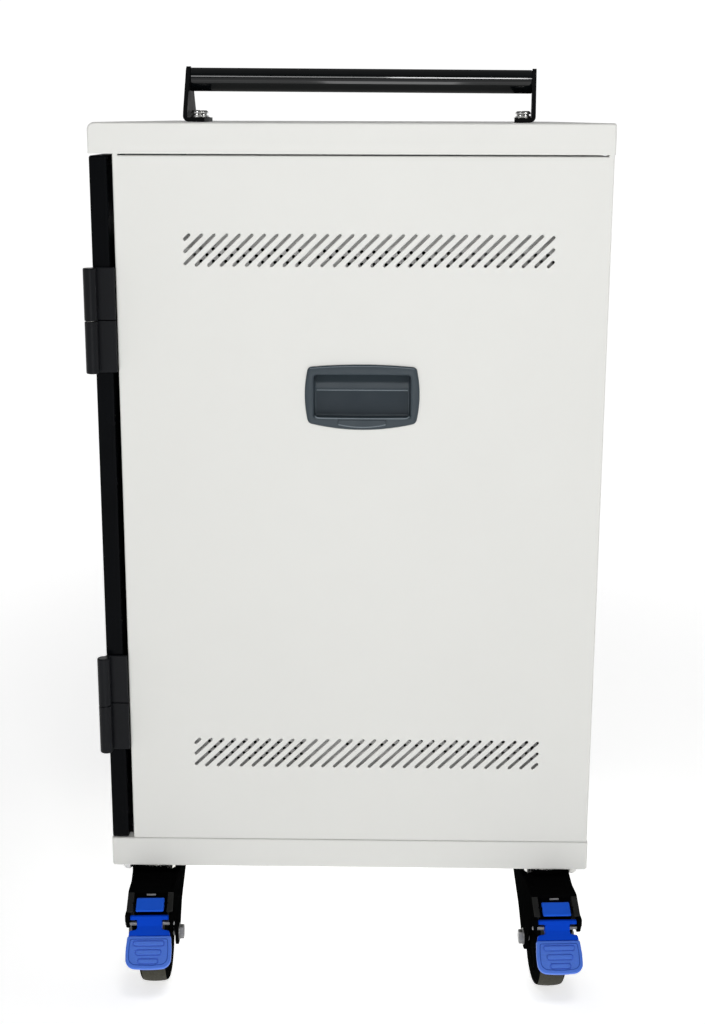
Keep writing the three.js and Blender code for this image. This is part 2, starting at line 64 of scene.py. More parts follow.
# ------------------------------------------------------------------ materials
MATS = {}


def scaled(colour, k):
    return tuple(min(1.0, c * k) for c in colour) + (1.0,)


def material(
    name,
    colour,
    rough,
    metal=0.0,
    spec=0.5,
    coat=0.0,
    grain=1500.0,
    bump=0.06,
    mottle=0.03,
    mottle_scale=9.0,
    rough_var=0.05,
    speck=0.0,
    speck_scale=700.0,
    stretch=(1, 1, 1),
    tint=None,
):
    """A painted, moulded or plated surface: broad mottle in its colour, uneven roughness, a fine grain in relief."""
    m = bpy.data.materials.new(name)
    m.use_nodes = True
    t = m.node_tree
    t.nodes.clear()
    out = t.nodes.new("ShaderNodeOutputMaterial")
    b = t.nodes.new("ShaderNodeBsdfPrincipled")
    t.links.new(b.outputs["BSDF"], out.inputs["Surface"])
    b.inputs["Metallic"].default_value = metal
    b.inputs["Specular IOR Level"].default_value = spec
    b.inputs["Coat Weight"].default_value = coat
    b.inputs["Coat Roughness"].default_value = 0.08
    co = t.nodes.new("ShaderNodeTexCoord")
    mp = t.nodes.new("ShaderNodeMapping")
    mp.inputs["Scale"].default_value = stretch
    t.links.new(co.outputs["Object"], mp.inputs["Vector"])

    def noise(scale, detail, rgh):
        n = t.nodes.new("ShaderNodeTexNoise")
        n.inputs["Scale"].default_value = scale
        n.inputs["Detail"].default_value = detail
        n.inputs["Roughness"].default_value = rgh
        t.links.new(mp.outputs["Vector"], n.inputs["Vector"])
        return n

    broad = noise(mottle_scale, 4.0, 0.6)
    ramp = t.nodes.new("ShaderNodeValToRGB")
    ramp.color_ramp.elements[0].position = 0.3
    ramp.color_ramp.elements[1].position = 0.7
    ramp.color_ramp.elements[0].color = scaled(colour, 1 - mottle)
    ramp.color_ramp.elements[1].color = scaled(tint or colour, 1 + mottle)
    t.links.new(broad.outputs["Fac"], ramp.inputs["Fac"])
    colour_out = ramp.outputs["Color"]
    if speck:
        fine = noise(speck_scale, 2.0, 0.5)
        sr = t.nodes.new("ShaderNodeValToRGB")
        sr.color_ramp.elements[0].position = 0.42
        sr.color_ramp.elements[1].position = 0.62
        sr.color_ramp.elements[0].color = (1 - speck,) * 3 + (1,)
        sr.color_ramp.elements[1].color = (1, 1, 1, 1)
        t.links.new(fine.outputs["Fac"], sr.inputs["Fac"])
        mix = t.nodes.new("ShaderNodeMix")
        mix.data_type = "RGBA"
        mix.blend_type = "MULTIPLY"
        mix.inputs[0].default_value = 1.0
        t.links.new(colour_out, mix.inputs[6])
        t.links.new(sr.outputs["Color"], mix.inputs[7])
        colour_out = mix.outputs[2]
    t.links.new(colour_out, b.inputs["Base Color"])
    uneven = noise(mottle_scale * 5, 3.0, 0.55)
    mr = t.nodes.new("ShaderNodeMapRange")
    mr.inputs["From Min"].default_value = 0.3
    mr.inputs["From Max"].default_value = 0.7
    mr.inputs["To Min"].default_value = max(0.02, rough - rough_var)
    mr.inputs["To Max"].default_value = min(1.0, rough + rough_var)
    t.links.new(uneven.outputs["Fac"], mr.inputs["Value"])
    t.links.new(mr.outputs["Result"], b.inputs["Roughness"])
    relief = noise(grain, 2.0, 0.5)
    bp = t.nodes.new("ShaderNodeBump")
    bp.inputs["Strength"].default_value = bump
    bp.inputs["Distance"].default_value = 0.0004
    t.links.new(relief.outputs["Fac"], bp.inputs["Height"])
    t.links.new(bp.outputs["Normal"], b.inputs["Normal"])
    MATS[name] = m
    return m


WHITE = material("white_powder_coat", (0.742, 0.744, 0.716), 0.46, spec=0.30, bump=0.05, mottle=0.006, grain=1800)
# the body's white coat made lighter: painted light on the liners seen through the vent slots
LINER_PAINTED_LIGHT = material("liner_powder_coat_painted_light", (0.88, 0.88, 0.87), 0.5, spec=0.3, bump=0.05, mottle=0.02, grain=1600)
BLACK = material("black_gloss_coat", (0.0026, 0.0034, 0.0040), 0.06, spec=0.42, bump=0.003, mottle=0.25, grain=900, rough_var=0.02)
DOOR = material("black_door_coat", (0.0022, 0.0026, 0.0033), 0.24, spec=0.035, bump=0.03, mottle=0.25, grain=1200)
SATIN = material("black_satin_coat", (0.0085, 0.0088, 0.0094), 0.34, spec=0.003, bump=0.07, mottle=0.15, grain=1500)
HINGE = material("black_hinge_coat", (0.0058, 0.0064, 0.0080), 0.34, spec=0.12, bump=0.06, mottle=0.15, grain=1500)
GASKET = material("gasket_foam", (0.010, 0.010, 0.010), 0.8, spec=0.10, bump=0.20, mottle=0.2, grain=1400)
SLATE = material("slate_plastic", (0.035, 0.049, 0.060), 0.42, spec=0.28, bump=0.10, mottle=0.05, grain=2200)
# a darker copy of slate_plastic: painted shade for the back of the pull's recessed pocket
SLATE_PAINTED_SHADE = material("slate_plastic_painted_shade", (0.0175, 0.0275, 0.0365), 0.46, spec=0.22, bump=0.12, mottle=0.06, grain=2200)
# a lighter copy of slate_plastic: painted highlight for the pull's lit edges
SLATE_PAINTED_HIGHLIGHT = material("slate_plastic_painted_highlight", (0.140, 0.172, 0.196), 0.36, spec=0.35, bump=0.08, mottle=0.08, grain=2200)
DARK = material("dark_plastic", (0.022, 0.023, 0.025), 0.5, spec=0.35, bump=0.12, mottle=0.08, grain=2000)
FORK = material("black_fork_coat", (0.0022, 0.0023, 0.0024), 0.35, spec=0.0, bump=0.03, mottle=0.3, grain=1000)
CHEEK = material("cheek_steel", (0.020, 0.0205, 0.020), 0.5, spec=0.06, bump=0.08, mottle=0.14, grain=1200)
BLUE = material("blue_plastic", (0.0016, 0.060, 0.60), 0.5, spec=0.03, bump=0.05, mottle=0.05, grain=2000)
BLUE_LEVER = material("blue_lever_plastic", (0.013, 0.112, 0.76), 0.45, spec=0.06, bump=0.06, mottle=0.05, grain=2000)
BLUE_PAD = material("blue_pedal_face", (0.074, 0.206, 0.82), 0.46, spec=0.30, bump=0.08, mottle=0.05, grain=1800, speck=0.06)
BLUE_LINE = material("blue_pedal_edge", (0.022, 0.085, 0.46), 0.5, spec=0.10, bump=0.06, mottle=0.05, grain=1900)
TREAD = material("tread_rubber", (0.064, 0.061, 0.045), 0.72, spec=0.12, bump=0.22, mottle=0.14, mottle_scale=22, grain=1300, speck=0.25)
WHEEL_SIDE = material("wheel_plastic", (0.0034, 0.0034, 0.0032), 0.5, spec=0.0, bump=0.12, mottle=0.2, grain=1700)
ZINC = material("zinc_plate", (0.62, 0.63, 0.65), 0.26, metal=1.0, bump=0.05, mottle=0.10, mottle_scale=60, grain=1100, tint=(0.66, 0.65, 0.60))
STEEL = material("dull_steel", (0.23, 0.23, 0.235), 0.36, metal=1.0, bump=0.06, mottle=0.14, mottle_scale=60, grain=1000)
RACK = material("rack_plastic", (0.030, 0.032, 0.035), 0.48, spec=0.35, bump=0.10, mottle=0.08, grain=1800)


# ------------------------------------------------------------------ outlines
def ccw(poly):
    a = sum(p[0] * q[1] - q[0] * p[1] for p, q in zip(poly, poly[1:] + poly[:1]))
    return list(poly) if a > 0 else list(reversed(poly))


def rect(u0, u1, v0, v1):
    return [(u0, v0), (u1, v0), (u1, v1), (u0, v1)]


def arc(cu, cv, r, start, end, n):
    return [
        (
            cu + r * math.cos(math.radians(start + (end - start) * i / n)),
            cv + r * math.sin(math.radians(start + (end - start) * i / n)),
        )
        for i in range(n + 1)
    ]


def circle(cu, cv, r, n):
    return arc(cu, cv, r, 0, 360, n)[:-1]


def rounded(poly, r, n=4):
    """The outline with its corners rounded; r is one radius or one for each corner."""
    poly = list(poly)
    out = []
    for i, p in enumerate(poly):
        ri = r[i] if isinstance(r, (list, tuple)) else r
        if ri <= 0:
            out.append(p)
            continue
        a = Vector(poly[i - 1]) - Vector(p)
        b = Vector(poly[(i + 1) % len(poly)]) - Vector(p)
        la, lb = a.length, b.length
        a.normalize()
        b.normalize()
        half = math.acos(max(-1.0, min(1.0, a.dot(b)))) / 2
        if half > math.radians(88):
            out.append(p)
            continue
        cut = min(ri / math.tan(half), la * 0.48, lb * 0.48)
        rad = cut * math.tan(half)
        centre = Vector(p) + (a + b).normalized() * (rad / math.sin(half))
        s, e = Vector(p) + a * cut, Vector(p) + b * cut
        a0 = math.atan2(s.y - centre.y, s.x - centre.x)
        a1 = math.atan2(e.y - centre.y, e.x - centre.x)
        d = (a1 - a0 + math.pi) % (2 * math.pi) - math.pi
        for k in range(n + 1):
            t = a0 + d * k / n
            out.append((centre.x + rad * math.cos(t), centre.y + rad * math.sin(t)))
    return out


def inset(poly, d):
    """A counter-clockwise outline moved inwards by d; d is one distance or one for each edge."""
    n = len(poly)
    dist = list(d) if isinstance(d, (list, tuple)) else [d] * n
    out = []
    for i in range(n):
        p0, p1, p2 = Vector(poly[i - 1]), Vector(poly[i]), Vector(poly[(i + 1) % n])
        e1, e2 = (p1 - p0).normalized(), (p2 - p1).normalized()
        n1, n2 = Vector((-e1.y, e1.x)), Vector((-e2.y, e2.x))
        d1, d2 = dist[i - 1], dist[i]
        k = n1.dot(n2)
        if abs(d1 - d2) < 1e-9 or k > 0.9999:
            m = (n1 + n2) / (1 + k) * d2 if k > -0.9999 else n1 * d2
        else:
            det = n1.x * n2.y - n1.y * n2.x
            m = Vector(((d1 * n2.y - d2 * n1.y) / det, (n1.x * d2 - n2.x * d1) / det))
        out.append((p1.x + m.x, p1.y + m.y))
    return out


def within(u, v, poly):
    hit = False
    for (a, b), (c, d) in zip(poly, poly[1:] + poly[:1]):
        if (b > v) != (d > v) and u < (c - a) * (v - b) / (d - b) + a:
            hit = not hit
    return hit


# ------------------------------------------------------------------ meshes
class Shell:
    def __init__(self):
        self.v, self.f = [], []

    def add(self, points):
        i = len(self.v)
        self.v.extend(points)
        return list(range(i, len(self.v)))

    def bridge(self, a, b):
        n = len(a)
        for i in range(n):
            j = (i + 1) % n
            self.f.append((a[i], a[j], b[j], b[i]))

    def cap(self, ring):
        self.f.append(tuple(ring))

    def fill(self, poly, ring, holes):
        """The outline's face with holes; holes are (outline, ring) pairs."""
        if not holes:
            self.cap(ring)
            return
        loops = [poly] + [h for h, _ in holes]
        index = list(ring) + [i for _, r in holes for i in r]
        points, edges = [], []
        for loop in loops:
            n = len(points)
            points += [Vector((u, v)) for u, v in loop]
            edges += [(n + i, n + (i + 1) % len(loop)) for i in range(len(loop))]
        boxes = [(min(p[0] for p in h), max(p[0] for p in h), min(p[1] for p in h), max(p[1] for p in h), h) for h in loops]
        _, _, tris, origin, _, _ = delaunay_2d_cdt(points, edges, [], 0, 1e-6)
        for tri in tris:
            ids = [origin[i][0] for i in tri]
            u = sum(points[i].x for i in ids) / 3
            v = sum(points[i].y for i in ids) / 3
            inside = 0
            for u0, u1, v0, v1, h in boxes:
                if u0 <= u <= u1 and v0 <= v <= v1 and within(u, v, h):
                    inside += 1
            if inside == 1:
                self.f.append(tuple(index[i] for i in ids))


def prism(s, outline, w0, w1, place, r0=0.0, r1=0.0, seg=3, holes=(), pockets0=(), pockets1=()):
    """An outline swept from w0 to w1 with rounded rims; holes go through, pockets are (outline, depth) from either end."""
    outline = ccw(outline)
    sgn = 1 if w1 > w0 else -1
    rings = []
    if r0 > 0:
        for i in range(seg + 1):
            a = math.pi / 2 * i / seg
            rings.append((r0 * (1 - math.sin(a)), w0 + sgn * r0 * (1 - math.cos(a))))
    else:
        rings.append((0.0, w0))
    if r1 > 0:
        for i in range(seg + 1):
            a = math.pi / 2 * (1 - i / seg)
            rings.append((r1 * (1 - math.sin(a)), w1 - sgn * r1 * (1 - math.cos(a))))
    else:
        rings.append((0.0, w1))
    idx, polys = [], []
    for d, w in rings:
        p = inset(outline, d) if d > 1e-9 else outline
        polys.append(p)
        idx.append(s.add([place(u, v, w) for u, v in p]))
    for a, b in zip(idx, idx[1:]):
        s.bridge(a, b)
    ends = ([], [])
    for h in holes:
        h = ccw(h)
        a = s.add([place(u, v, w0) for u, v in h])
        b = s.add([place(u, v, w1) for u, v in h])
        s.bridge(a, b)
        ends[0].append((h, a))
        ends[1].append((h, b))
    for end, pockets, w, dirn in ((0, pockets0, w0, sgn), (1, pockets1, w1, -sgn)):
        for h, depth in pockets:
            h = ccw(h)
            a = s.add([place(u, v, w) for u, v in h])
            b = s.add([place(u, v, w + dirn * depth) for u, v in h])
            s.bridge(a, b)
            s.cap(b)
            ends[end].append((h, a))
    s.fill(polys[0], idx[0], ends[0])
    s.fill(polys[-1], idx[-1], ends[1])
    return s


def lathe(s, profile, n, place):
    """A closed round body from (radius, height) points; place(u, v, w) with w the height."""
    rings = []
    for r, h in profile:
        if r < 1e-6:
            rings.append(s.add([place(0, 0, h)]))
        else:
            rings.append(s.add([place(r * math.cos(2 * math.pi * k / n), r * math.sin(2 * math.pi * k / n), h) for k in range(n)]))
    for a, b in zip(rings, rings[1:]):
        if len(a) == 1 and len(b) == 1:
            continue
        if len(a) == 1:
            for k in range(n):
                s.f.append((a[0], b[(k + 1) % n], b[k]))
        elif len(b) == 1:
            for k in range(n):
                s.f.append((a[k], a[(k + 1) % n], b[0]))
        else:
            s.bridge(a, b)
    if len(rings[0]) > 1 and rings[0] is not rings[-1]:
        s.cap(rings[0])
    if len(rings[-1]) > 1:
        s.cap(rings[-1])
    return s


def tidy(mesh, angle=38):
    bm = bmesh.new()
    bm.from_mesh(mesh)
    bmesh.ops.remove_doubles(bm, verts=bm.verts, dist=1e-6)
    bmesh.ops.recalc_face_normals(bm, faces=bm.faces)
    bm.to_mesh(mesh)
    bm.free()
    for p in mesh.polygons:
        p.use_smooth = True
    mesh.set_sharp_from_angle(angle=math.radians(angle))


def even_normals(o):
    w = o.modifiers.new("even_normals", "WEIGHTED_NORMAL")
    w.keep_sharp = True
    w.weight = 90


def piece(name, shell, mat, node=None, body=None, slot=None, angle=38, bevel=0.0):
    """A finished mesh riding on a body; where node is given, it stands for that CAD node."""
    mesh = bpy.data.meshes.new(name)
    mesh.from_pydata([at(*p) for p in shell.v], [], shell.f)
    mesh.validate()
    tidy(mesh, angle)
    o = bpy.data.objects.new(name, mesh)
    bpy.context.scene.collection.objects.link(o)
    mesh.materials.append(mat)
    if bevel:
        b = o.modifiers.new("rounded", "BEVEL")
        b.width = bevel / 1000
        b.segments = 3
        b.limit_method = "ANGLE"
        b.angle_limit = math.radians(40)
        b.harden_normals = False
    even_normals(o)
    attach(o, BODY[node] if node else body)
    if node:
        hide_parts(node)
    slot or SLOT[node]
    return o


def keep(node, mat, bevel=0.4):
    """A CAD node shown as it is, with its edges eased and its own finish."""
    o = NODES[node]
    o.data.materials.clear()
    o.data.materials.append(mat)
    w = o.modifiers.new("weld", "WELD")
    w.merge_threshold = 0.00001
    b = o.modifiers.new("eased", "BEVEL")
    b.width = bevel / 1000
    b.segments = 2
    b.limit_method = "ANGLE"
    b.angle_limit = math.radians(40)
    even_normals(o)
    return o


# sweep directions: outline (u, v) and sweep w, in cabinet coordinates
def along_x(u, v, w):
    return (w, u, v)


def along_y(u, v, w):
    return (u, w, v)


def along_z(u, v, w):
    return (u, v, w)


def far_side(place):
    """The same thing seen in the mirror plane halfway between the two sides."""

    def mirrored(u, v, w):
        x, y, z = place(u, v, w)
        return (x, WIDTH - y, z)

    return mirrored


# ------------------------------------------------------------------ cap and base
def build_cap():
    y0 = 0.9
    bm = bmesh.new()
    bmesh.ops.create_cube(bm, size=1.0)
    for v in bm.verts:
        v.co = at(
            DEPTH if v.co.x > 0 else 0.0,
            WIDTH - y0 if v.co.y > 0 else y0,
            Z_TOP if v.co.z > 0 else Z_CAP,
        )
    top, bottom, front = Z_TOP / 1000, Z_CAP / 1000, -CENTER_X / 1000
    lip = [e for e in bm.edges if all(abs(v.co.z - top) < 1e-6 and abs(v.co.x - front) < 1e-6 for v in e.verts)]
    bmesh.ops.bevel(bm, geom=lip, offset=0.0072, segments=8, profile=0.5, affect="EDGES", clamp_overlap=True)
    edges = [
        e
        for e in bm.edges
        if len(e.link_faces) == 2
        and e.calc_face_angle() > math.radians(55)
        and not all(abs(v.co.z - bottom) < 1e-6 for v in e.verts)
    ]
    bmesh.ops.bevel(bm, geom=edges, offset=0.0024, segments=4, profile=0.5, affect="EDGES", clamp_overlap=True)
    bmesh.ops.delete(
        bm,
        geom=[f for f in bm.faces if all(abs(v.co.z - bottom) < 1e-6 for v in f.verts)],
        context="FACES_ONLY",
    )
    mesh = bpy.data.meshes.new("cap_shell")
    bm.to_mesh(mesh)
    bm.free()
    tidy(mesh)
    o = bpy.data.objects.new("cap_shell", mesh)
    bpy.context.scene.collection.objects.link(o)
    mesh.materials.append(WHITE)
    s = o.modifiers.new("sheet", "SOLIDIFY")
    s.thickness = 0.0015
    s.offset = -1
    s.use_even_offset = True
    even_normals(o)
    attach(o, "cabinet")
    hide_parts("top_cap")


build_cap()

s = Shell()
prism(
    s,
    rounded(rect(0, DEPTH, 0, WIDTH), 3.0, 5),
    Z_BASE,
    Z_BASE_TOP,
    along_z,
    r0=2.4,
    r1=1.6,
    seg=4,
    pockets1=[(rounded(rect(14, DEPTH - 14, 14, WIDTH - 14), 2, 3), 29.4)],
)
piece("base_shell", s, WHITE, "base_tray")

# ------------------------------------------------------------------ side panels with vent slots
PANEL_Y, PANEL_T = 1.2, 1.2
SLOT_W, SLOT_PITCH, SLOT_LEAN, BAND_H = 3.1, 11.84, 1.036, 31.0
BAND_X0, BAND_X1 = 87.4, 436.6
BAND_TOPS = (Z_TOP - 101.4, Z_TOP - 606.7)
PULL_X, PULL_Z = 256.3, Z_TOP - 256.2


def slot_band(u0, u1, top, first, count):
    holes = []
    r = SLOT_W / 2
    lean = math.degrees(math.atan2(1, SLOT_LEAN))
    for k in range(count):
        ref = first + SLOT_PITCH * k

        def u_at(v):
            return ref + SLOT_LEAN * (v - (top - 6.4))

        def v_at(u):
            return top - 6.4 + (u - ref) / SLOT_LEAN

        v1 = min(top - r, v_at(u1 - r))
        v0 = max(top - BAND_H + r, v_at(u0 + r))
        if v1 - v0 < 1:
            continue
        holes.append(
            arc(u_at(v1), v1, r, lean - 90, lean + 90, 6) + arc(u_at(v0), v0, r, lean + 90, lean + 270, 6)
        )
    return holes


def build_side(name, node, place):
    z0, z1, notch = Z_BASE_TOP + 0.3, Z_CAP - 0.05, Z_CAP - 1.35
    outline = [
        (22.7, z0),
        (489, z0),
        (489, z1),
        (483.5, z1),
        (483.5, notch),
        (28, notch),
        (28, z1),
        (22.7, z1),
    ]
    square = [0, 1, 0, 0.35, 1, 0.35, 0, 1]  # share of the rim radius on each edge
    r, seg, wall = 1.8, 4, 17.0
    s = Shell()
    rings, front = [], None
    for i in range(seg + 1):
        a = math.pi / 2 * i / seg
        k = r * (1 - math.sin(a))
        p = inset(outline, [k * q for q in square])
        front = front or p
        rings.append(s.add([place(u, v, PANEL_Y + r * (1 - math.cos(a))) for u, v in p]))
    rings.append(s.add([place(u, v, PANEL_Y + wall) for u, v in outline]))
    inner = inset(outline, PANEL_T)
    rings.append(s.add([place(u, v, PANEL_Y + wall) for u, v in inner]))
    rings.append(s.add([place(u, v, PANEL_Y + PANEL_T) for u, v in inner]))
    for a, b in zip(rings, rings[1:]):
        s.bridge(a, b)
    holes = [rounded(rect(PULL_X - 49, PULL_X + 49, PULL_Z - 22.4, PULL_Z + 24.6), 4)]
    for top in BAND_TOPS:
        holes += slot_band(BAND_X0, BAND_X1, top, BAND_X0 + 0.4, 32)
    faces = ([], [])
    for h in holes:
        h = ccw(h)
        wide = inset(h, -0.25)
        a = s.add([place(u, v, PANEL_Y) for u, v in wide])
        b = s.add([place(u, v, PANEL_Y + 0.25) for u, v in h])
        c = s.add([place(u, v, PANEL_Y + PANEL_T) for u, v in h])
        s.bridge(a, b)
        s.bridge(b, c)
        faces[0].append((wide, a))
        faces[1].append((h, c))
    s.fill(front, rings[0], faces[0])
    s.fill(inner, rings[-1], faces[1])
    piece(name, s, WHITE, node)


build_side("side_sheet_near", "side_panel_near", along_y)
build_side("side_sheet_far", "side_panel_far", far_side(along_y))


# ------------------------------------------------------------------ perforated liners
PERF_NX = 60


def perforated(name, node, u0, v0, pitch, lean, ny, place, blank_at):
    """A sheet of square cells, each with a round hole, closed all round; some cells are left blank.

    The rows fall by lean for each millimetre along the sheet.
    """
    s = Shell()

    def laid(u, v, w):
        return place(u, v - lean * (u - u0), w)

    w0, w1, hr = 22.0, 23.2, 1.85
    grid = [{}, {}]

    def corner(side, i2, j2):
        key = (i2, j2)
        if key not in grid[side]:
            grid[side][key] = s.add([laid(u0 + i2 * pitch / 2, v0 + j2 * pitch / 2, (w0, w1)[side])])[0]
        return grid[side][key]

    around = [(2, 1), (2, 2), (1, 2), (0, 2), (0, 1), (0, 0), (1, 0), (2, 0)]
    for i in range(PERF_NX):
        for j in range(ny):
            blank = blank_at(i, j)
            rims = []
            for side in (0, 1):
                outer = [corner(side, 2 * i + a, 2 * j + b) for a, b in around]
                if blank:
                    s.cap(outer)
                    continue
                cu, cv = u0 + (i + 0.5) * pitch, v0 + (j + 0.5) * pitch
                rim = s.add([laid(u, v, (w0, w1)[side]) for u, v in circle(cu, cv, hr, 8)])
                s.bridge(outer, rim)
                rims.append(rim)
            if not blank:
                s.bridge(rims[0], rims[1])
    nx, nj = 2 * PERF_NX, 2 * ny
    edge = (
        [(i, 0) for i in range(nx)]
        + [(nx, j) for j in range(nj)]
        + [(i, nj) for i in range(nx, 0, -1)]
        + [(0, j) for j in range(nj, 0, -1)]
    )
    s.bridge([corner(0, i, j) for i, j in edge], [corner(1, i, j) for i, j in edge])
    piece(name, s, LINER_PAINTED_LIGHT, node)


def build_liner(name, node, place):
    def upper_blank(i, j):
        return i in (18, 19) or (20 <= i <= 23 and j <= 1)

    def lower_blank(i, j):
        bare = 0 if i < 20 else 4 if i < 23 else 3 if i < 36 else 2 if i < 47 else 1
        return i in (17, 18, 19) or j < bare

    # corner, pitch, fall of the rows, number of rows
    patches = [("upper", 92.8, 740.25, 5.901, 0.016, 4, upper_blank), ("lower", 97.5, 238.5, 5.919, 0.013, 5, lower_blank)]
    windows = []
    for level, u, v, pitch, lean, ny, blank_at in patches:
        long, g = PERF_NX * pitch, 0.04
        windows.append([(u - g, v - g), (u + long + g, v - lean * long - g), (u + long + g, v - lean * long + ny * pitch + g), (u - g, v + ny * pitch + g)])
    s = Shell()
    prism(s, rect(32, 485, 163.4, 848.4), 22.0, 23.2, place, r0=0.3, r1=0.3, seg=2, holes=windows)
    piece(name, s, LINER_PAINTED_LIGHT, node)
    for level, u, v, pitch, lean, ny, blank_at in patches:
        perforated(f"{name}_mesh_{level}", node, u, v, pitch, lean, ny, place, blank_at)


build_liner("liner_sheet_near", "liner_near", along_y)
build_liner("liner_sheet_far", "liner_far", far_side(along_y))

# ------------------------------------------------------------------ rear panel, inlet and switch
INLET_Y, INLET_Z = 130.0, 232.0
s = Shell()
prism(
    s,
    rect(3, 597, 163, 847.6),
    485.8,
    487.3,
    along_x,
    r1=0.5,
    seg=2,
    holes=slot_band(180, 422, BAND_TOPS[0], 180.4, 23)
    + [rounded(rect(INLET_Y - 21.5, INLET_Y + 21.5, INLET_Z - 31.5, INLET_Z + 31.5), 2)],
)
piece("rear_sheet", s, WHITE, "rear_panel")


def pan_head(s, place, r, h, cross=True, n=28):
    """A pan-head screw's head standing on w = 0, with its cross recess."""
    prof = [(r, 0.0), (r, h * 0.30), (r * 0.97, h * 0.50), (r * 0.88, h * 0.72), (r * 0.74, h * 0.90), (r * 0.60, h)]
    rings = [s.add([place(q * math.cos(2 * math.pi * k / n), q * math.sin(2 * math.pi * k / n), z) for k in range(n)]) for q, z in prof]
    for a, b in zip(rings, rings[1:]):
        s.bridge(a, b)
    s.cap(rings[0])
    top = circle(0, 0, r * 0.60, n)
    if not cross:
        s.cap(rings[-1])
        return s
    a, b = r * 0.50, r * 0.13
    plus = [(a, -b), (a, b), (b, b), (b, a), (-b, a), (-b, b), (-a, b), (-a, -b), (-b, -b), (-b, -a), (b, -a), (b, -b)]
    rim = s.add([place(u, v, h) for u, v in plus])
    low = s.add([place(u * 0.7, v * 0.7, h * 0.45) for u, v in plus])
    s.bridge(rim, low)
    s.cap(low)
    s.fill(top, rings[-1], [(plus, rim)])
    return s


s = Shell()
for y in (24, 210, 390, 576):
    for z in (190, 505, 828):
        if z == 505 and y not in (24, 576):
            continue
        pan_head(s, lambda u, v, w, y=y, z=z: (487.25 + w, y + u, z + v), 3.9, 1.6)
piece("rear_sheet_screws", s, ZINC, body="cabinet", slot="zinc")

keep("inlet_socket", DARK, 0.5)
s = Shell()
for dy, dz, tall in ((-7.0, -13.2, False), (7.0, -13.2, False), (0.0, -17.6, False)):
    prism(
        s,
        rounded(rect(INLET_Y + dy - 1.0, INLET_Y + dy + 1.0, INLET_Z + dz - 2.0, INLET_Z + dz + 2.0), 0.4, 2),
        470.6,
        483.0,
        along_x,
        r1=0.5,
        seg=2,
    )
piece("inlet_pins", s, ZINC, body="cabinet", slot="zinc")
c7, s7 = math.cos(math.radians(7)), math.sin(math.radians(7))
s = Shell()
prism(
    s,
    rounded(
        [
            (484 + c7 * x - s7 * z, 250 + s7 * x + c7 * z)
            for x, z in ((-6, -5), (0, -8.8), (4.8, -8.6), (3.2, 0), (4.8, 8.6), (0, 8.8), (-6, 5))
        ],
        [0.5, 0.5, 0.8, 8, 0.8, 0.5, 0.5],
        4,
    ),
    INLET_Y - 13.2,
    INLET_Y + 13.2,
    along_y,
    r0=0.7,
    r1=0.7,
)
piece("switch_rocker", s, SATIN, "rocker_switch")

# ------------------------------------------------------------------ inside
keep("bottom_deck", WHITE, 0.3)
keep("shelf_upper", WHITE, 0.4)
keep("partition_panel", WHITE, 0.3)
keep("divider_rack_lower", RACK, 0.5)
keep("divider_rack_upper", RACK, 0.5)
for level, z in (("lower", 300.0), ("upper", 640.0)):
    keep("power_strip_" + level, DARK, 0.8)
    s = Shell()
    for k in range(10):
        y = 100 + 400 * (k + 0.5) / 10
        prism(
            s,
            rounded(rect(y - 17, y + 17, z + 6, z + 40), 3, 4),
            387.6,
            389.4,
            along_x,
            r1=0.6,
            seg=2,
            pockets1=[
                (rounded(rect(y - 8.0, y - 5.8, z + 22, z + 30), 0.4, 2), 1.6),
                (rounded(rect(y + 5.8, y + 8.0, z + 22, z + 30), 0.4, 2), 1.6),
                (circle(y, z + 15, 2.6, 14), 1.6),
            ],
        )
    piece("power_strip_outlets_" + level, s, SATIN, body="cabinet", slot="dark_plastic")

# ------------------------------------------------------------------ recessed pulls
PULL_LINE = 5.9  # where the pocket's back turns away, above the pull's centre


def bowed(corners, bows, r, k, m, at_v=None):
    """Four sides, each bowed outwards, with rounded corners; the same number of points whatever the sizes."""
    sides = []
    for i in range(4):
        p, q = Vector(corners[i]), Vector(corners[(i + 1) % 4])
        length = (q - p).length
        normal = Vector(((q - p).y, -(q - p).x)).normalized()
        t0 = r / length
        ts = [t0 + (1 - 2 * t0) * j / m for j in range(m + 1)]
        pts = [p.lerp(q, t) + normal * (bows[i] * 4 * t * (1 - t)) for t in ts]
        if at_v is not None and i in (1, 3):
            nearest = min(range(1, m), key=lambda j: abs(pts[j].y - at_v))
            t = (at_v - p.y) / (q.y - p.y)
            pts[nearest] = p.lerp(q, t) + normal * (bows[i] * 4 * t * (1 - t))
        sides.append(pts)
    out = []
    for i in range(4):
        out += [tuple(p) for p in sides[i]]
        a, c, b = sides[i][-1], Vector(corners[(i + 1) % 4]), sides[(i + 1) % 4][0]
        for j in range(1, k):
            t = j / k
            p = a * (1 - t) ** 2 + c * 2 * t * (1 - t) + b * t**2
            out.append(tuple(p))
    return out


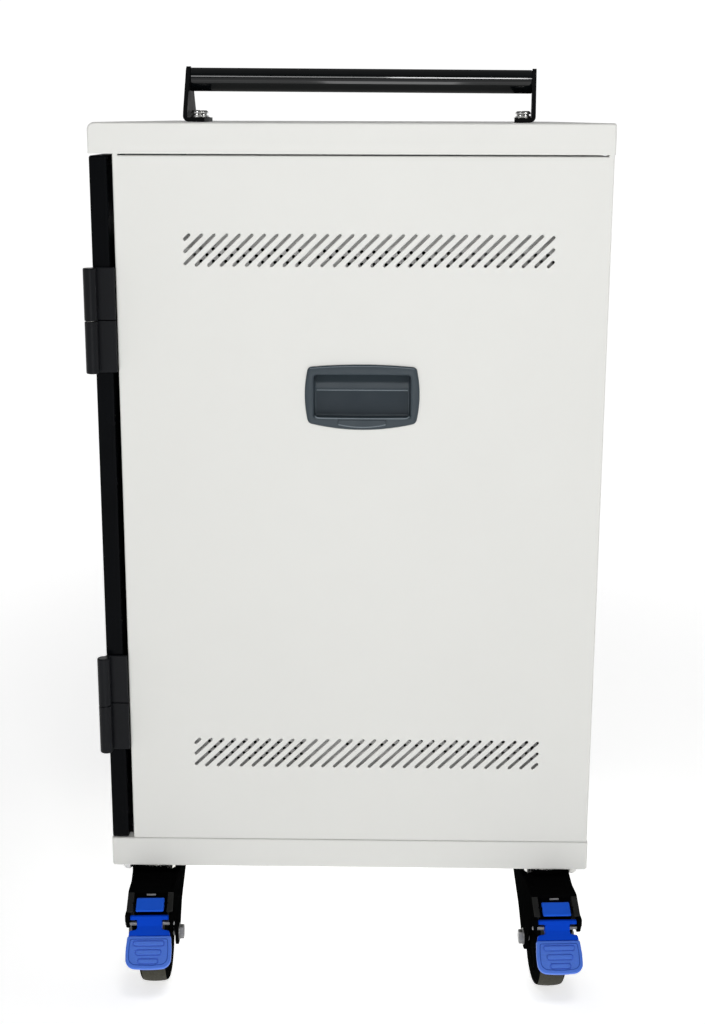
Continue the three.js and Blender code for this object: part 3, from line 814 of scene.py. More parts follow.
def build_pull(name, node, side):
    def place(u, v, w):
        return side(PULL_X + u, PULL_Z + v, PANEL_Y + w)

    outer = bowed([(-51.9, -25.2), (51.9, -25.2), (51.9, 29.2), (-51.9, 29.2)], [6.4, 3.2, 2.5, 3.2], 3.6, 5, 14)
    pocket = bowed([(-46.4, -19.6), (46.4, -19.6), (46.4, 21.6), (-46.4, 21.6)], [0.5, 0, 0.2, 0], 3.0, 5, 14, at_v=PULL_LINE)

    def mix(t):
        return [(a[0] + (b[0] - a[0]) * t, a[1] + (b[1] - a[1]) * t) for a, b in zip(outer, pocket)]

    def depth(v):
        return 7.6 + 0.36 * max(0.0, v - PULL_LINE)

    s = Shell()

    def ring(poly, w):
        return s.add([place(u, v, w(v) if callable(w) else w) for u, v in poly])

    back = inset(pocket, -1.7)
    rings = [
        ring(back, 15.2),
        ring(back, 0.3),
        ring(outer, 0.3),
        ring(outer, -0.7),
        ring(inset(outer, 0.25), -1.35),
        ring(inset(outer, 0.8), -1.95),
        ring(inset(outer, 1.7), -2.35),
        ring(mix(0.42), -2.6),
        ring(inset(pocket, -1.9), -2.55),
        ring(inset(pocket, -0.9), -2.3),
        ring(inset(pocket, -0.25), -1.7),
        ring(pocket, -0.8),
        ring(inset(pocket, 0.35), 3.6),
        ring(inset(pocket, 0.7), lambda v: depth(v) - 1.5),
        ring(inset(pocket, 1.1), lambda v: depth(v) - 0.5),
        ring(inset(pocket, 2.0), depth),
    ]
    for a, b in zip(rings, rings[1:]):
        s.bridge(a, b)
    s.cap(rings[0])
    floor = inset(pocket, 2.0)
    last = rings[-1]
    n = len(floor)
    m, k = 14, 5
    step = m + k  # points on one side with the corner after it
    right = [i for i in range(step, step + m + 1) if floor[i][1] >= PULL_LINE - 1e-6] + list(range(step + m + 1, 2 * step + 1))
    left = [i for i in range(3 * step + m, 3 * step - 1, -1) if floor[i][1] >= PULL_LINE - 1e-6] + list(range(3 * step - 1, 2 * step + m - 1, -1))
    for j in range(len(right) - 1):
        s.f.append((last[right[j]], last[right[j + 1]], last[left[j + 1]], last[left[j]]))
    s.cap([last[i] for i in range(2 * step, 2 * step + m + 1)])
    s.cap([last[i] for i in range(right[0] + 1)] + [last[i] for i in range(left[0], n)])
    piece(name, s, SLATE, node, angle=30)
    s = Shell()  # the pocket's back, in a darker copy of the bezel's plastic: painted shade of the recess
    prism(s, rounded(rect(-44.3, 44.3, -17.5, PULL_LINE - 0.7), [1.4, 1.4, 0.3, 0.3], 4), 8.4, 7.42, place, r1=0.12, seg=2)
    piece(name + "_back", s, SLATE_PAINTED_SHADE, body=BODY[node], slot="slate_plastic")
    # thumb rest moulded into the lower bar
    tab = [(-22.5, -21.5), (22.5, -21.5), (24.0, -26.2)]
    tab += [(24.0 - 48.0 * j / 12, -26.2 - 3.6 * 4 * (j / 12) * (1 - j / 12)) for j in range(1, 12)]
    tab += [(-24.0, -26.2)]
    s = Shell()
    prism(s, tab, -1.9, -3.5, place, r1=0.8, seg=3)
    piece(name + "_rest", s, SLATE, node)
    # painted highlights: lighter strips along the pocket's lower lip, the fold inside it, the rest's lower edge and the
    # bezel's top edge
    s = Shell()
    lip = [-45.6 + 91.2 * j / 60 for j in range(61)]
    sag = [-19.6 - 0.5 * (1 - (u / 46.4) ** 2) + 2.0 * max(0.0, (abs(u) - 42.0) / 3.6) ** 2 for u in lip]
    prism(s, [(u, v - 1.0) for u, v in zip(lip, sag)] + [(u, v + 0.35) for u, v in zip(lip[::-1], sag[::-1])], -1.2, -2.72, place, r1=0.4, seg=3)
    prism(s, rounded(rect(-44.0, 44.0, PULL_LINE - 0.8, PULL_LINE + 0.3), 0.3, 2), 8.6, 7.15, place, r1=0.35, seg=3)
    low = [(-22.6 + 45.2 * j / 16, -26.6 - 2.6 * 4 * (j / 16) * (1 - j / 16)) for j in range(17)]
    prism(s, [(u, v - 0.05) for u, v in low] + [(u, v + 1.15) for u, v in low[::-1]], -2.2, -3.72, place, r1=0.4, seg=3)
    top = [-50.0 + 100.0 * j / 24 for j in range(25)]
    crest = [29.2 + 2.5 * (1 - (u / 51.9) ** 2) for u in top]
    prism(s, [(u, v - 1.75) for u, v in zip(top, crest)] + [(u, v - 1.2) for u, v in zip(top[::-1], crest[::-1])], -1.7, -2.36, place, r1=0.15, seg=2)
    piece(name + "_edges", s, SLATE_PAINTED_HIGHLIGHT, body=BODY[node], slot="slate_plastic")
    # painted shade: a dark strip along the top of the thumb rest stands in for the shadow in its groove
    s = Shell()
    prism(s, rounded(rect(-23.4, 23.4, -22.5, -21.5), 0.4, 2), -2.2, -2.95, place, r1=0.25, seg=2)
    piece(name + "_painted_groove_shade", s, DARK, body=BODY[node], slot="slate_plastic")


build_pull("pull_cup_near", "pull_handle_near", lambda x, z, y: (x, y, z))
build_pull("pull_cup_far", "pull_handle_far", lambda x, z, y: (x, WIDTH - y, z))

# ------------------------------------------------------------------ push handle
TUBE_Y, TUBE_Z, TUBE_R = 68.0, Z_TOP + 38, 11.0


def build_bracket(name, node, x, side, lift, turn):
    """A plate folded at its foot: four corners of the strip carried along the fold; turn skews the plate about the tube."""
    z0, t, ro, ri = Z_TOP + 0.3, 4.0, 5.2, 1.2
    path = []  # (outer x, outer z, inner x, inner z, half width)
    for k, hw in ((20.0, 37.0), (19.4, 38.6), (18.4, 39.5), (17.0, 40.0), (12.0, 40.0), (8.0, 40.0)):
        path.append((k, z0, k, z0 + t, hw))
    for i in range(7):
        a = math.radians(90 * i / 6)
        path.append(
            (
                ro - ro * math.sin(a),
                z0 + ro - ro * math.cos(a),
                ro - ri * math.sin(a),
                z0 + ro - ri * math.cos(a),
                40.0,
            )
        )
    tan, rt, zc = 26.0, 12.2, TUBE_Z + lift
    zt, ht = zc + rt * math.sin(math.radians(tan)), rt * math.cos(math.radians(tan))
    for i in range(1, 9):
        f = i / 8
        path.append((0.0, 885.0 + (zt - 885.0) * f, t, 885.0 + (zt - 885.0) * f, 40.0 + (ht - 40.0) * f))
    for i in range(1, 10):
        a = math.radians(tan + (84 - tan) * i / 9)
        path.append((0.0, zc + rt * math.sin(a), t, zc + rt * math.sin(a), rt * math.cos(a)))
    s = Shell()
    rings = []
    for ox, oz, ix, iz, hw in path:
        rings.append(
            s.add(
                [
                    (x + side * ox + turn * -hw / 80, TUBE_Y - hw, oz),
                    (x + side * ox + turn * hw / 80, TUBE_Y + hw, oz),
                    (x + side * ix + turn * hw / 80, TUBE_Y + hw, iz),
                    (x + side * ix + turn * -hw / 80, TUBE_Y - hw, iz),
                ]
            )
        )
    for a, b in zip(rings, rings[1:]):
        s.bridge(a, b)
    s.cap(rings[0])
    s.cap(rings[-1])
    piece(name, s, SATIN, node, bevel=0.9, angle=34)


build_bracket("handle_plate_front", "handle_bracket_front", 86.5, 1, 1.5, 0.0)
build_bracket("handle_plate_rear", "handle_bracket_rear", 420.5, -1, 0.0, 6.4)
s = Shell()
lathe(
    s,
    [(0, 90.7), (10.2, 90.7), (10.8, 91.0), (11.0, 91.7), (11.0, 170), (11.0, 253.5), (11.0, 337), (11.0, 415.3), (10.8, 416.0), (10.2, 416.3), (0, 416.3)],
    56,
    lambda u, v, w: (w, TUBE_Y + u, TUBE_Z + v + 1.6 * (416.3 - w) / 325.6),  # one end sits a little higher
)
piece("handle_grip", s, BLACK, "handle_tube")
for tag, x, y in (("front_near", 98.5, 39), ("front_far", 98.5, 98), ("rear_near", 408.5, 39), ("rear_far", 408.5, 98)):
    s = Shell()
    lathe(s, [(0, 882.9), (4.9, 882.9), (5.1, 883.3), (4.9, 884.4), (3.6, 884.7), (3.2, 886.1), (0, 886.1)], 28, lambda u, v, w: (x + u, y + v, w))
    pan_head(s, lambda u, v, w: (x + u, y + v, 886.0 + w), 4.9, 3.0)
    piece("handle_screw_head_" + tag, s, ZINC, "handle_screw_" + tag)
    s = Shell()
    lathe(s, [(0, 882.28), (6.3, 882.28), (6.5, 882.5), (6.3, 882.95), (0, 882.95)], 28, lambda u, v, w: (x + u, y + v, w))
    piece("handle_washer_" + tag, s, ZINC, body="cabinet", slot="zinc")

# ------------------------------------------------------------------ door, hinges, lock
DOOR_Z0, DOOR_Z1 = Z_BASE_TOP + 1, Z_CAP - 1.6
LOCK_Y, LOCK_Z = 548.0, 505.0
s = Shell()
prism(
    s,
    rounded(rect(0.4, 599.6, DOOR_Z0, DOOR_Z1), 2.5, 4),
    1.0,
    17.7,
    along_x,
    r0=2.2,
    r1=1.2,
    seg=4,
    pockets1=[(rounded(rect(16.4, 583.6, DOOR_Z0 + 16, DOOR_Z1 - 16), 3, 4), 15.2)],
)
piece("door_leaf", s, DOOR, "door_panel")
for k, y in enumerate((190.0, 370.0)):
    s = Shell()
    prism(s, rounded([(2.6, y), (2.6, y + 44), (10.5, y + 36), (10.5, y + 8)], [0, 0, 2.5, 2.5], 4), 182, 827, along_z, r0=0.6, r1=0.6, seg=2)
    piece(f"door_stiffener_{k + 1}", s, DOOR, body="door", slot="black_gloss")

s = Shell()  # foam gasket on the door's rim, along the far edge, the top and the bottom
prism(s, rounded(rect(590.0, 597.5, DOOR_Z0 + 2, DOOR_Z1 - 2), 2.0, 3), 17.75, 22.2, along_x, r1=1.4, seg=3)
prism(s, rounded(rect(20.0, 588.0, DOOR_Z0 + 3, DOOR_Z0 + 10), 2.0, 3), 17.75, 21.8, along_x, r1=1.4, seg=3)
prism(s, rounded(rect(20.0, 588.0, DOOR_Z1 - 10, DOOR_Z1 - 3), 2.0, 3), 17.75, 21.8, along_x, r1=1.4, seg=3)
piece("door_gasket", s, GASKET, body="door", slot="dark_plastic")

HINGE_X, HINGE_Y, HINGE_R, HINGE_HALF = 0.0, -9.0, 6.4, 50.0
leaf = (
    [(22.2, -3.0), (22.2, -0.25), (1.6, -0.25), (0.3, -1.2)]
    + arc(HINGE_X, HINGE_Y, HINGE_R, 96, 408, 40)
    + [(4.7, -3.45), (5.3, -3.0)]
)
for level, z in (("upper", Z_TOP - 183), ("lower", Z_TOP - 568.4)):
    s = Shell()
    prism(s, rounded(leaf, [0.9, 0.3] + [0] * (len(leaf) - 2), 3), z + 0.4, z + HINGE_HALF, along_z, r0=0.5, r1=1.3, seg=3)
    piece("hinge_knuckle_door_" + level, s, HINGE, "hinge_door_leaf_" + level, angle=30)
    s = Shell()
    prism(s, rounded(leaf, [0.9, 0.3] + [0] * (len(leaf) - 2), 3), z - HINGE_HALF, z - 0.4, along_z, r0=1.3, r1=0.5, seg=3)
    piece("hinge_knuckle_body_" + level, s, HINGE, "hinge_body_leaf_" + level, angle=30)
    s = Shell()
    prism(s, rect(18.5, 22.2, -0.4, 18.2), z - HINGE_HALF + 0.2, z - 0.6, along_z, r0=0.6, r1=0.6, seg=2)
    piece("hinge_tab_" + level, s, HINGE, "hinge_body_leaf_" + level)
    s = Shell()
    lathe(s, [(0, z - 45.7), (3, z - 45.7), (3, z), (3, z + 45.6), (0, z + 45.6)], 24, lambda u, v, w: (HINGE_X + u, HINGE_Y + v, w))
    piece("hinge_spindle_" + level, s, ZINC, "hinge_pin_" + level)

s = Shell()
prism(
    s,
    arc(LOCK_Y, LOCK_Z + 6, 17, 0, 180, 20) + arc(LOCK_Y, LOCK_Z - 48, 17, 180, 360, 20),
    -2.3,
    0.7,
    along_x,
    r0=1.0,
    seg=3,
    holes=[circle(LOCK_Y, LOCK_Z, 6.5, 28)],
)
piece("lock_plate", s, SATIN, "lock_escutcheon")
s = Shell()
prism(
    s,
    arc(LOCK_Y, LOCK_Z, 11, 0, 180, 20) + arc(LOCK_Y, LOCK_Z - 38, 8, 180, 360, 16),
    -15.0,
    -8.2,
    along_x,
    r0=1.8,
    r1=1.0,
    seg=4,
    pockets0=[(rect(LOCK_Y - 0.7, LOCK_Y + 0.7, LOCK_Z - 4.2, LOCK_Z + 4.2), 2.2)],
)
piece("lock_lever", s, SATIN, "lock_handle")
s = Shell()
prism(s, circle(LOCK_Y, LOCK_Z, 14, 40), -9.0, -2.8, along_x, r0=0.8, r1=0.8)
piece("lock_boss", s, SATIN, "lock_handle")
s = Shell()
prism(s, circle(LOCK_Y, LOCK_Z, 5.9, 28), -5.0, 25.0, along_x)
piece("lock_spindle", s, ZINC, "lock_handle")
s = Shell()
prism(
    s,
    arc(LOCK_Y, LOCK_Z, 10, 0, 180, 18) + arc(LOCK_Y, LOCK_Z - 36, 8, 180, 360, 14),
    25.3,
    28.3,
    along_x,
    r0=0.5,
    r1=0.5,
    seg=2,
)
piece("lock_cam_plate", s, ZINC, "lock_cam")
s = Shell()
prism(s, circle(LOCK_Y, LOCK_Z, 7, 6), 28.0, 31.0, along_x, r1=0.6, seg=2)
piece("lock_cam_nut", s, ZINC, "lock_cam")

# ------------------------------------------------------------------ casters
TRAIL, WHEEL_R = 36.0, 50.0
PEDAL_Y, PEDAL_Z = -98.0, 93.0
REL_Y, REL_Z = -89.0, 109.3


def build_caster(tag, cx, cy, turn, out):
    """Local frame: swivel axis at x = y = 0, the wheel trails towards -y; out is the cart's outer side along X."""
    ct, st = math.cos(math.radians(turn)), math.sin(math.radians(turn))

    def turned(x, y, z):
        return (cx + ct * x - st * y, cy + st * x + ct * y, z)

    def side(u, v, w):  # outline in y, z, swept across the caster
        return turned(w, u, v)

    def plan(u, v, w):  # outline in x, y, swept up
        return turned(u, v, w)

    def square(u, v, w):
        return (cx + u, cy + v, w)

    plate, fork, wheel, axle = (f"caster_{k}_{tag}" for k in ("plate", "fork", "wheel", "axle"))
    pedal, release = f"brake_pedal_{tag}", f"brake_release_{tag}"
    fixed = BODY[plate]
    swivel = BODY[fork]

    # top plate, ball race and the bolts under the base
    s = Shell()
    prism(s, rounded(rect(-38, 38, -33, 33), 5, 5), 126.4, 129.6, square, r0=0.7, r1=0.4, seg=2)
    piece("caster_top_" + tag, s, FORK, plate)
    s = Shell()
    lathe(s, [(0, 117.8), (17.5, 117.8), (20.8, 118.6), (22.0, 120.4), (22.0, 123.2), (21.0, 125.0), (19.0, 126.6), (0, 126.6)], 48, square)
    piece("caster_race_" + tag, s, FORK, plate)
    s = Shell()
    lathe(s, [(0, 103.0), (8.6, 103.0), (9.4, 103.8), (9.4, 109.0), (5.4, 109.6), (5.4, 118.2), (0, 118.2)], 28, square)
    piece("caster_kingpin_" + tag, s, ZINC, plate)
    s = Shell()
    for bx in (-22, 22):
        for by in (-27, 27):
            px, py = cx + bx + out * 5.5, cy + by
            prism(s, circle(px, py, 5.2, 6), 120.0, 126.0, along_z, r0=0.9, seg=2)
            prism(s, circle(px, py, 2.7, 18), 118.8, 120.2, along_z, r0=0.4, seg=2)
            prism(s, circle(px, py, 6.8, 26), 126.02, 127.2, along_z)
    piece("caster_bolts_" + tag, s, ZINC, body=fixed, slot="zinc")

    # fork: crown, hood, two legs with their end blocks, brake cheeks, pins
    s = Shell()
    prism(
        s,
        rounded([(-23.5, -52), (23.5, -52), (23.5, -36), (27.0, -4), (27.0, 10), (17, 27), (-17, 27), (-27.0, 10), (-27.0, -4), (-23.5, -36)], [4, 4, 30, 30, 9, 8, 8, 9, 30, 30], 5),
        110.4,
        115.0,
        plan,
        r0=0.5,
        r1=2.2,
        seg=4,
        holes=[circle(0, 0, 6, 24)],
    )
    piece("fork_crown_" + tag, s, FORK, fork)
    s = Shell()
    prism(
        s,
        rounded([(-48, 111.4), (-48, 115), (-74, 117.5), (-76.4, 115.0), (-75.4, 113.2), (-72.5, 114.2)], [0, 0, 2.2, 1.0, 0.6, 0.8], 4),
        -20.6,
        20.6,
        side,
    )
    piece("fork_hood_" + tag, s, FORK, fork)
    s = Shell()
    prism(s, circle(0, 0, 25.4, 60), 115.02, 119.3, plan, holes=[circle(0, 0, 22.8, 48)])
    piece("fork_race_" + tag, s, FORK, fork)
    s = Shell()
    prism(s, circle(0, 0, 26.0, 60), 119.32, 121.6, plan, r0=0.6, r1=0.6, seg=3, holes=[circle(0, 0, 22.8, 48)])
    piece("fork_race_rim_" + tag, s, ZINC, body=swivel, slot="zinc")
    s = Shell()  # web behind the release lever
    prism(s, rounded([(-72.5, 114.4), (-75.0, 113.4), (-80.0, 100.0), (-86.5, 90.5), (-85.0, 89.5), (-78.0, 99.0)], 0.4, 3), -19.8, 19.8, side)
    piece("fork_web_" + tag, s, FORK, fork)
    leg = [(-48, 115), (-74, 117.5), (-103, 104), (-103, 91), (-97, 87.5), (-70, 84)]
    leg += arc(-TRAIL, WHEEL_R, 13, 175, 300, 16) + [(6, 66), (27, 96), (26, 113), (18, 114.4)]

    def splayed(u, v, w):  # the legs stand wider apart under the crown
        def ease(q):
            q = max(0.0, min(1.0, q))
            return q * q * (3 - 2 * q)

        return turned(w + math.copysign(3.5 * ease((v - 62) / 40) * ease((u + 40) / 40), w), u, v)

    for sign, hand in ((-1, "left"), (1, "right")):
        s = Shell()
        prism(
            s,
            rounded(leg, [0, 4, 3, 3, 2, 8] + [0] * 17 + [14, 10, 4, 2], 5),
            sign * 20.3,
            sign * 23.5,
            splayed,
            r0=0.5,
            r1=0.9,
            seg=3,
            holes=[circle(-TRAIL, WHEEL_R, 4.4, 20)],
        )
        piece(f"fork_leg_{hand}_{tag}", s, FORK, fork)
        s = Shell()
        prism(
            s,
            rounded([(-76.5, 116.8), (-99.2, 106.8), (-99.2, 105.2), (-90, 104.5), (-88, 89), (-80, 86), (-74, 112)], [2, 1.2, 0.5, 1, 2, 2, 2], 4),
            sign * 17.0,
            sign * 22.9,
            side,
            r0=0.7,
            r1=0.7,
            seg=3,
        )
        piece(f"fork_cheek_{hand}_{tag}", s, CHEEK, fork)
        s = Shell()
        prism(s, rounded(rect(-104.2, -94.0, 96.6, 105.0), [1.4, 1.0, 1.0, 1.4], 4), sign * 19.9, sign * 24.3, side, r0=0.6, r1=1.0, seg=3)
        piece(f"fork_block_{hand}_{tag}", s, FORK, fork)
        s = Shell()
        prism(s, circle(PEDAL_Y, PEDAL_Z, 1.9, 20), sign * 12.9, sign * 24.6, side, r1=0.5, seg=2)
        piece(f"fork_pin_{hand}_{tag}", s, STEEL, fork)
    s = Shell()
    prism(s, circle(REL_Y, REL_Z, 1.9, 18), -18.5, 18.5, side, r0=0.4, r1=0.4, seg=2)
    piece("fork_release_pin_" + tag, s, FORK, fork)
    s = Shell()  # spring clip under the hood's lip
    prism(s, rounded([(-73.5, 113.2), (-77.4, 114.8), (-78.3, 113.9), (-78.1, 112.9), (-77.5, 112.9), (-77.3, 113.4), (-74.0, 112.2)], 0.25, 3), -4.6, 4.6, side, r0=0.2, r1=0.2, seg=2)
    piece("fork_spring_clip_" + tag, s, STEEL, body=swivel, slot="zinc")

    # wheel: black core and tyre walls, a worn tread
    def rolled(u, v, w):
        return turned(w, -TRAIL + u, WHEEL_R + v)

    def ring(profile, n):
        s = Shell()
        rings = [s.add([rolled(r * math.cos(2 * math.pi * k / n), r * math.sin(2 * math.pi * k / n), h) for k in range(n)]) for r, h in profile]
        for a, b in zip(rings, rings[1:] + rings[:1]):
            s.bridge(a, b)
        return s

    half = [(45.0, 0.0), (45.0, 12.3), (48.55, 12.3), (49.3, 9.6), (49.8, 5.2), (50.0, 0.0)]
    piece("wheel_tread_" + tag, ring([(r, -h) for r, h in half] + [(r, h) for r, h in half[-2:0:-1]], 72), TREAD, wheel)
    half = [(36.2, 14.2), (37.6, 15.0), (43.0, 15.0), (46.0, 14.2), (47.8, 13.2), (48.5, 12.34), (44.9, 12.34), (44.9, 0.0)]
    piece("wheel_tyre_" + tag, ring([(r, h) for r, h in half] + [(r, -h) for r, h in half[-2::-1]], 64), WHEEL_SIDE, wheel)
    half = [(4.6, 17.5), (11.0, 17.5), (12.0, 16.5), (13.0, 11.5), (14.5, 11.0), (31.5, 11.0), (33.0, 11.6), (34.2, 13.8), (36.1, 14.1)]
    piece("wheel_core_" + tag, ring([(r, -h) for r, h in half] + [(r, h) for r, h in half[::-1]], 56), WHEEL_SIDE, wheel)
    s = Shell()
    for k in range(6):
        a = math.radians(60 * k + 15)
        for sign in (-1, 1):
            ca, sa = math.cos(a), math.sin(a)
            prism(
                s,
                rounded(rect(13.5, 33.0, -1.6, 1.6), 0.5, 2),
                sign * 10.6,
                sign * 13.0,
                lambda u, v, w: rolled(u * ca - v * sa, u * sa + v * ca, w),
                r1=0.6,
                seg=2,
            )
    piece("wheel_ribs_" + tag, s, WHEEL_SIDE, wheel)

    # axle bolt, nut and washers
    s = Shell()
    prism(s, circle(-TRAIL, WHEEL_R, 4.0, 24), -25.0, 28.0, side)
    piece("axle_bolt_" + tag, s, STEEL, axle)
    s = Shell()
    for sign in (-1, 1):
        prism(s, circle(-TRAIL, WHEEL_R, 8.8, 32), sign * 23.6, sign * 24.6, side, r1=0.3, seg=2)
        prism(s, circle(-TRAIL, WHEEL_R, 7.4, 6), sign * 24.6, sign * 29.0, side, r1=1.0, seg=2)
    piece("axle_nuts_" + tag, s, STEEL, axle)

    # brake pedal: sleeve, neck with its shoulders, pad with raised bars in grooves
    s = Shell()
    prism(s, circle(PEDAL_Y, PEDAL_Z, 5.0, 28), -12.6, 12.6, side, r0=0.8, r1=0.8, holes=[circle(PEDAL_Y, PEDAL_Z, 2.8, 20)])
    piece("pedal_sleeve_" + tag, s, BLUE, pedal)
    s = Shell()
    prism(
        s,
        rounded([(-98.4, 98.0), (-98.6, 102.7), (-101.7, 102.6), (-103.6, 92.6), (-108.4, 86.0), (-106.0, 80.5), (-101.0, 87.6), (-102.2, 93.0)], [0.6, 1, 1, 7, 1, 1, 2, 3], 5),
        -12.4,
        12.4,
        side,
        r0=0.7,
        r1=0.7,
    )
    piece("pedal_neck_" + tag, s, BLUE, pedal)
    s = Shell()
    prism(s, rounded([(-98.6, 98.6), (-98.4, 102.6), (-101.8, 102.5), (-102.6, 98.6)], 0.8, 4), -19.3, 19.3, side, r0=0.7, r1=0.7)
    piece("pedal_shoulder_upper_" + tag, s, BLUE, pedal)

    def slope(y0, z0, y1, z1):
        d = math.hypot(y1 - y0, z1 - z0)
        ey, ez = (y1 - y0) / d, (z1 - z0) / d
        return lambda u, v, w: turned(u, y0 + v * ey + w * ez, z0 + v * ez - w * ey)  # across, down the face, out of it

    flare = [(12.4, -2.0), (12.4, 1.4), (12.8, 2.6), (14.0, 3.5), (17.6, 4.0), (19.4, 4.6), (20.2, 5.8), (20.8, 9.4)]
    s = Shell()
    prism(s, [(-u, v) for u, v in flare] + flare[::-1], 0.0, -4.6, slope(-103.6, 92.8, -108.9, 85.6), r0=0.9, r1=0.9)
    piece("pedal_shoulder_lower_" + tag, s, BLUE, pedal)
    pad = slope(-109.2, 85.1, -131.2, 63.6)

    def pad_outline(d):
        return rounded(
            [(d - 21.8, d), (21.8 - d, d), (22.9 - d, 14), (22.3 - d, 31.8 - d), (0, 33.6 - d), (d - 22.3, 31.8 - d), (d - 22.9, 14)],
            [2.0, 2.0, 60, 10.5 - d, 150, 10.5 - d, 60],
            9,
        )

    bars = ((15.6, 5.2, 10.4), (12.9, 14.1, 19.6), (10.2, 23.1, 28.3))
    s = Shell()
    prism(
        s,
        pad_outline(0.0),
        0.0,
        -5.6,
        pad,
        r0=1.2,
        r1=1.6,
        seg=4,
        pockets0=[(rounded(rect(-hw - 0.6, hw + 0.6, v0 - 0.6, v1 + 0.6), 3.1, 7), 1.3) for hw, v0, v1 in bars],
    )
    piece("pedal_pad_" + tag, s, BLUE_PAD, pedal)
    s = Shell()
    for hw, v0, v1 in bars:
        prism(s, rounded(rect(-hw + 0.45, hw - 0.45, v0 + 0.45, v1 - 0.45), 2.1, 7), -1.35, 0.35, pad, r1=0.6, seg=3)
    piece("pedal_bars_" + tag, s, BLUE_PAD, pedal)
    s = Shell()
    rim = ccw(pad_outline(3.0))
    prism(s, rim, -0.4, 0.30, pad, r1=0.25, seg=2, holes=[inset(rim, 0.7)])
    piece("pedal_border_" + tag, s, BLUE_LINE, pedal)

    # release lever
    s = Shell()
    prism(
        s,
        rounded([(-82, 107), (-82.5, 113), (-85.6, 114.2), (-98.8, 108.0), (-99.6, 106.4), (-96, 104.9), (-88, 105)], [1.2, 1.2, 2.2, 1.6, 0.8, 0.8, 1], 5),
        -14.0,
        14.0,
        side,
        r0=1.3,
        r1=1.3,
        seg=4,
    )
    piece("release_lever_" + tag, s, BLUE_LEVER, release)


build_caster("front_near", 41.0, 45.0, 2.4, -1)
build_caster("rear_near", 449.0, 45.0, 3.3, 1)
build_caster("front_far", 41.0, 555.0, 177.6, -1)
build_caster("rear_far", 449.0, 555.0, 176.7, 1)

# ------------------------------------------------------------------ floor, light, camera
scene = bpy.context.scene
floor_mesh = bpy.data.meshes.new("studio_floor")
floor_mesh.from_pydata([(-14, -14, -0.0005), (14, -14, -0.0005), (14, 14, -0.0005), (-14, 14, -0.0005)], [], [(0, 1, 2, 3)])
floor = bpy.data.objects.new("studio_floor", floor_mesh)
scene.collection.objects.link(floor)
FLOOR = material("studio_floor", (0.90, 0.90, 0.90), 0.75, spec=0.2, bump=0.02, mottle=0.004, grain=400)
principled = next(n for n in FLOOR.node_tree.nodes if n.type == "BSDF_PRINCIPLED")
principled.inputs["Emission Color"].default_value = (1, 1, 1, 1)
ft = FLOOR.node_tree  # the floor runs out into a white sweep away from the cart
f_co = ft.nodes.new("ShaderNodeTexCoord")
f_len = ft.nodes.new("ShaderNodeVectorMath")
f_len.operation = "LENGTH"
ft.links.new(f_co.outputs["Object"], f_len.inputs[0])
f_map = ft.nodes.new("ShaderNodeMapRange")
f_map.interpolation_type = "SMOOTHSTEP"
f_map.inputs["From Min"].default_value = 0.5
f_map.inputs["From Max"].default_value = 2.0
f_map.inputs["To Min"].default_value = 0.66
f_map.inputs["To Max"].default_value = 0.86
ft.links.new(f_len.outputs["Value"], f_map.inputs["Value"])
ft.links.new(f_map.outputs["Result"], principled.inputs["Emission Strength"])
floor_mesh.materials.append(FLOOR)

world = bpy.data.worlds.new("studio")
scene.world = world
world.use_nodes = True
wt = world.node_tree
wt.nodes.clear()
w_out = wt.nodes.new("ShaderNodeOutputWorld")
w_bg = wt.nodes.new("ShaderNodeBackground")
w_co = wt.nodes.new("ShaderNodeTexCoord")
w_sep = wt.nodes.new("ShaderNodeSeparateXYZ")
wt.links.new(w_co.outputs["Generated"], w_sep.inputs["Vector"])
w_up = wt.nodes.new("ShaderNodeMapRange")  # darker overhead than at the horizon
w_up.interpolation_type = "SMOOTHSTEP"
w_up.inputs["From Min"].default_value = 0.05
w_up.inputs["From Max"].default_value = 0.55
w_up.inputs["To Min"].default_value = 0.50
w_up.inputs["To Max"].default_value = 0.09
wt.links.new(w_sep.outputs["Z"], w_up.inputs["Value"])
w_back = wt.nodes.new("ShaderNodeMapRange")  # white backdrop behind the cart
w_back.interpolation_type = "SMOOTHSTEP"
w_back.inputs["From Min"].default_value = -0.1
w_back.inputs["From Max"].default_value = 0.4
wt.links.new(w_sep.outputs["Y"], w_back.inputs["Value"])
w_mix = wt.nodes.new("ShaderNodeMix")
w_mix.data_type = "FLOAT"
w_low = wt.nodes.new("ShaderNodeMapRange")  # and only low down, so that nothing overhead mirrors it
w_low.interpolation_type = "SMOOTHSTEP"
w_low.inputs["From Min"].default_value = 0.22
w_low.inputs["From Max"].default_value = 0.55
w_low.inputs["To Min"].default_value = 1.0
w_low.inputs["To Max"].default_value = 0.0
wt.links.new(w_sep.outputs["Z"], w_low.inputs["Value"])
w_both = wt.nodes.new("ShaderNodeMath")
w_both.operation = "MULTIPLY"
wt.links.new(w_back.outputs["Result"], w_both.inputs[0])
wt.links.new(w_low.outputs["Result"], w_both.inputs[1])
wt.links.new(w_both.outputs["Value"], w_mix.inputs[0])
wt.links.new(w_up.outputs["Result"], w_mix.inputs[2])
w_mix.inputs[3].default_value = 1.05
w_bg.inputs["Color"].default_value = (1.0, 1.0, 1.0, 1.0)
wt.links.new(w_mix.outputs[0], w_bg.inputs["Strength"])
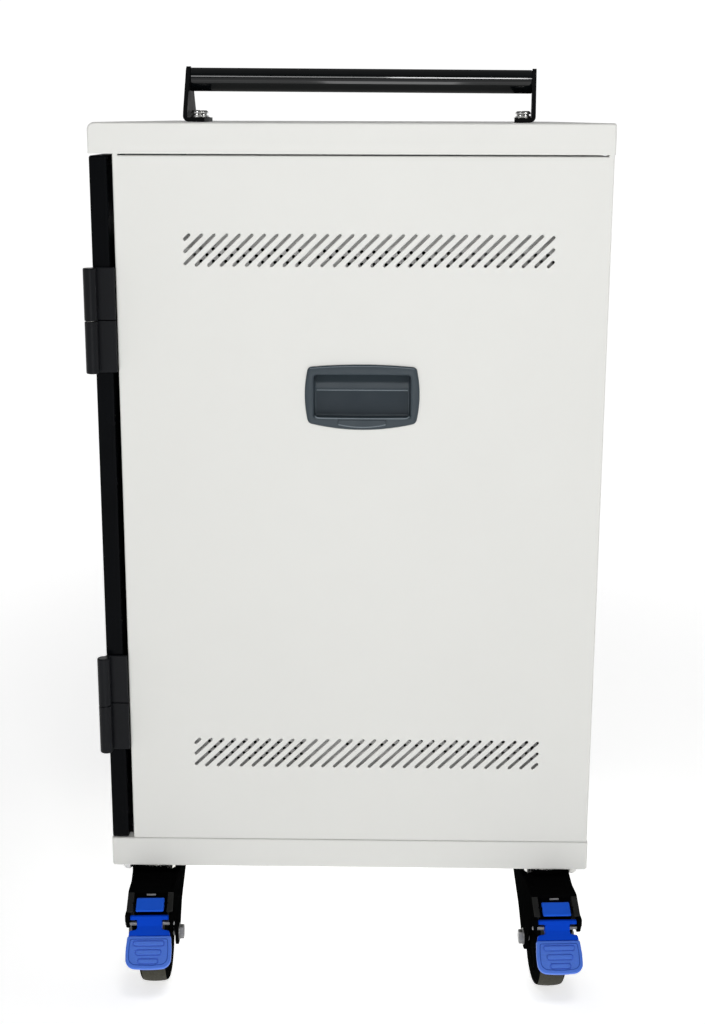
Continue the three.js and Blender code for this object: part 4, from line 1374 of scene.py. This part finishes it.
wt.links.new(w_bg.outputs["Background"], w_out.inputs["Surface"])


def area(name, where, aim, sx, sy, power, colour=(1, 1, 1)):
    light = bpy.data.lights.new(name, "AREA")
    light.shape = "RECTANGLE"
    light.size, light.size_y = sx, sy
    light.energy = power
    light.color = colour
    o = bpy.data.objects.new(name, light)
    o.location = where
    o.rotation_euler = (Vector(aim) - Vector(where)).to_track_quat("-Z", "X").to_euler()
    # long side along X: to_track_quat's up axis is X, so the local X axis runs up the picture
    scene.collection.objects.link(o)
    return o


TUBE = Vector((0.015, -0.232, 0.916))


def softbox(name, rise, run, wide, tall, power):
    """A flat light facing the handle from the front, rise degrees above it and run metres away."""
    out = Vector((0.0, -math.cos(math.radians(rise)), math.sin(math.radians(rise))))
    light = area(name, TUBE + out * run, TUBE, wide, tall, power)
    xa = Vector((1, 0, 0))
    light.rotation_euler = Matrix((xa, out.cross(xa), out)).transposed().to_euler()
    return light


softbox("key_lamp", 30.5, 1.9, 0.30, 0.30, 7.4).location.x += 0.19
softbox("key_strip", 30.5, 1.9, 0.95, 0.30, 6.4)
area("overhead_softbox", (0.0, 0.0, 2.6), (0.0, 0.0, 0.0), 2.2, 2.2, 1.2)
area("front_fill", (0.1, -3.2, 0.40), (0.0, -0.3, 0.10), 2.6, 1.4, 3.4)
area("low_fill", (0.05, -1.6, 0.10), (0.05, -0.3, 0.12), 1.2, 0.25, 3.2)

cam_data = bpy.data.cameras.new("camera")
cam_data.sensor_width = 36.0
cam_data.lens = 56.13
cam_data.clip_start = 0.05
cam_data.clip_end = 60.0
cam = bpy.data.objects.new("camera", cam_data)
scene.collection.objects.link(cam)
cam.matrix_world = (
    Matrix.Translation((0.036224, -1.812895, 0.883))
    @ Matrix.Rotation(math.radians(0.998), 4, "Z")
    @ Matrix.Rotation(math.radians(90 - 13.896), 4, "X")
    @ Matrix.Rotation(math.radians(0.162), 4, "Z")
)
scene.camera = cam
scene.view_settings.view_transform = "Standard"
scene.view_settings.look = "None"
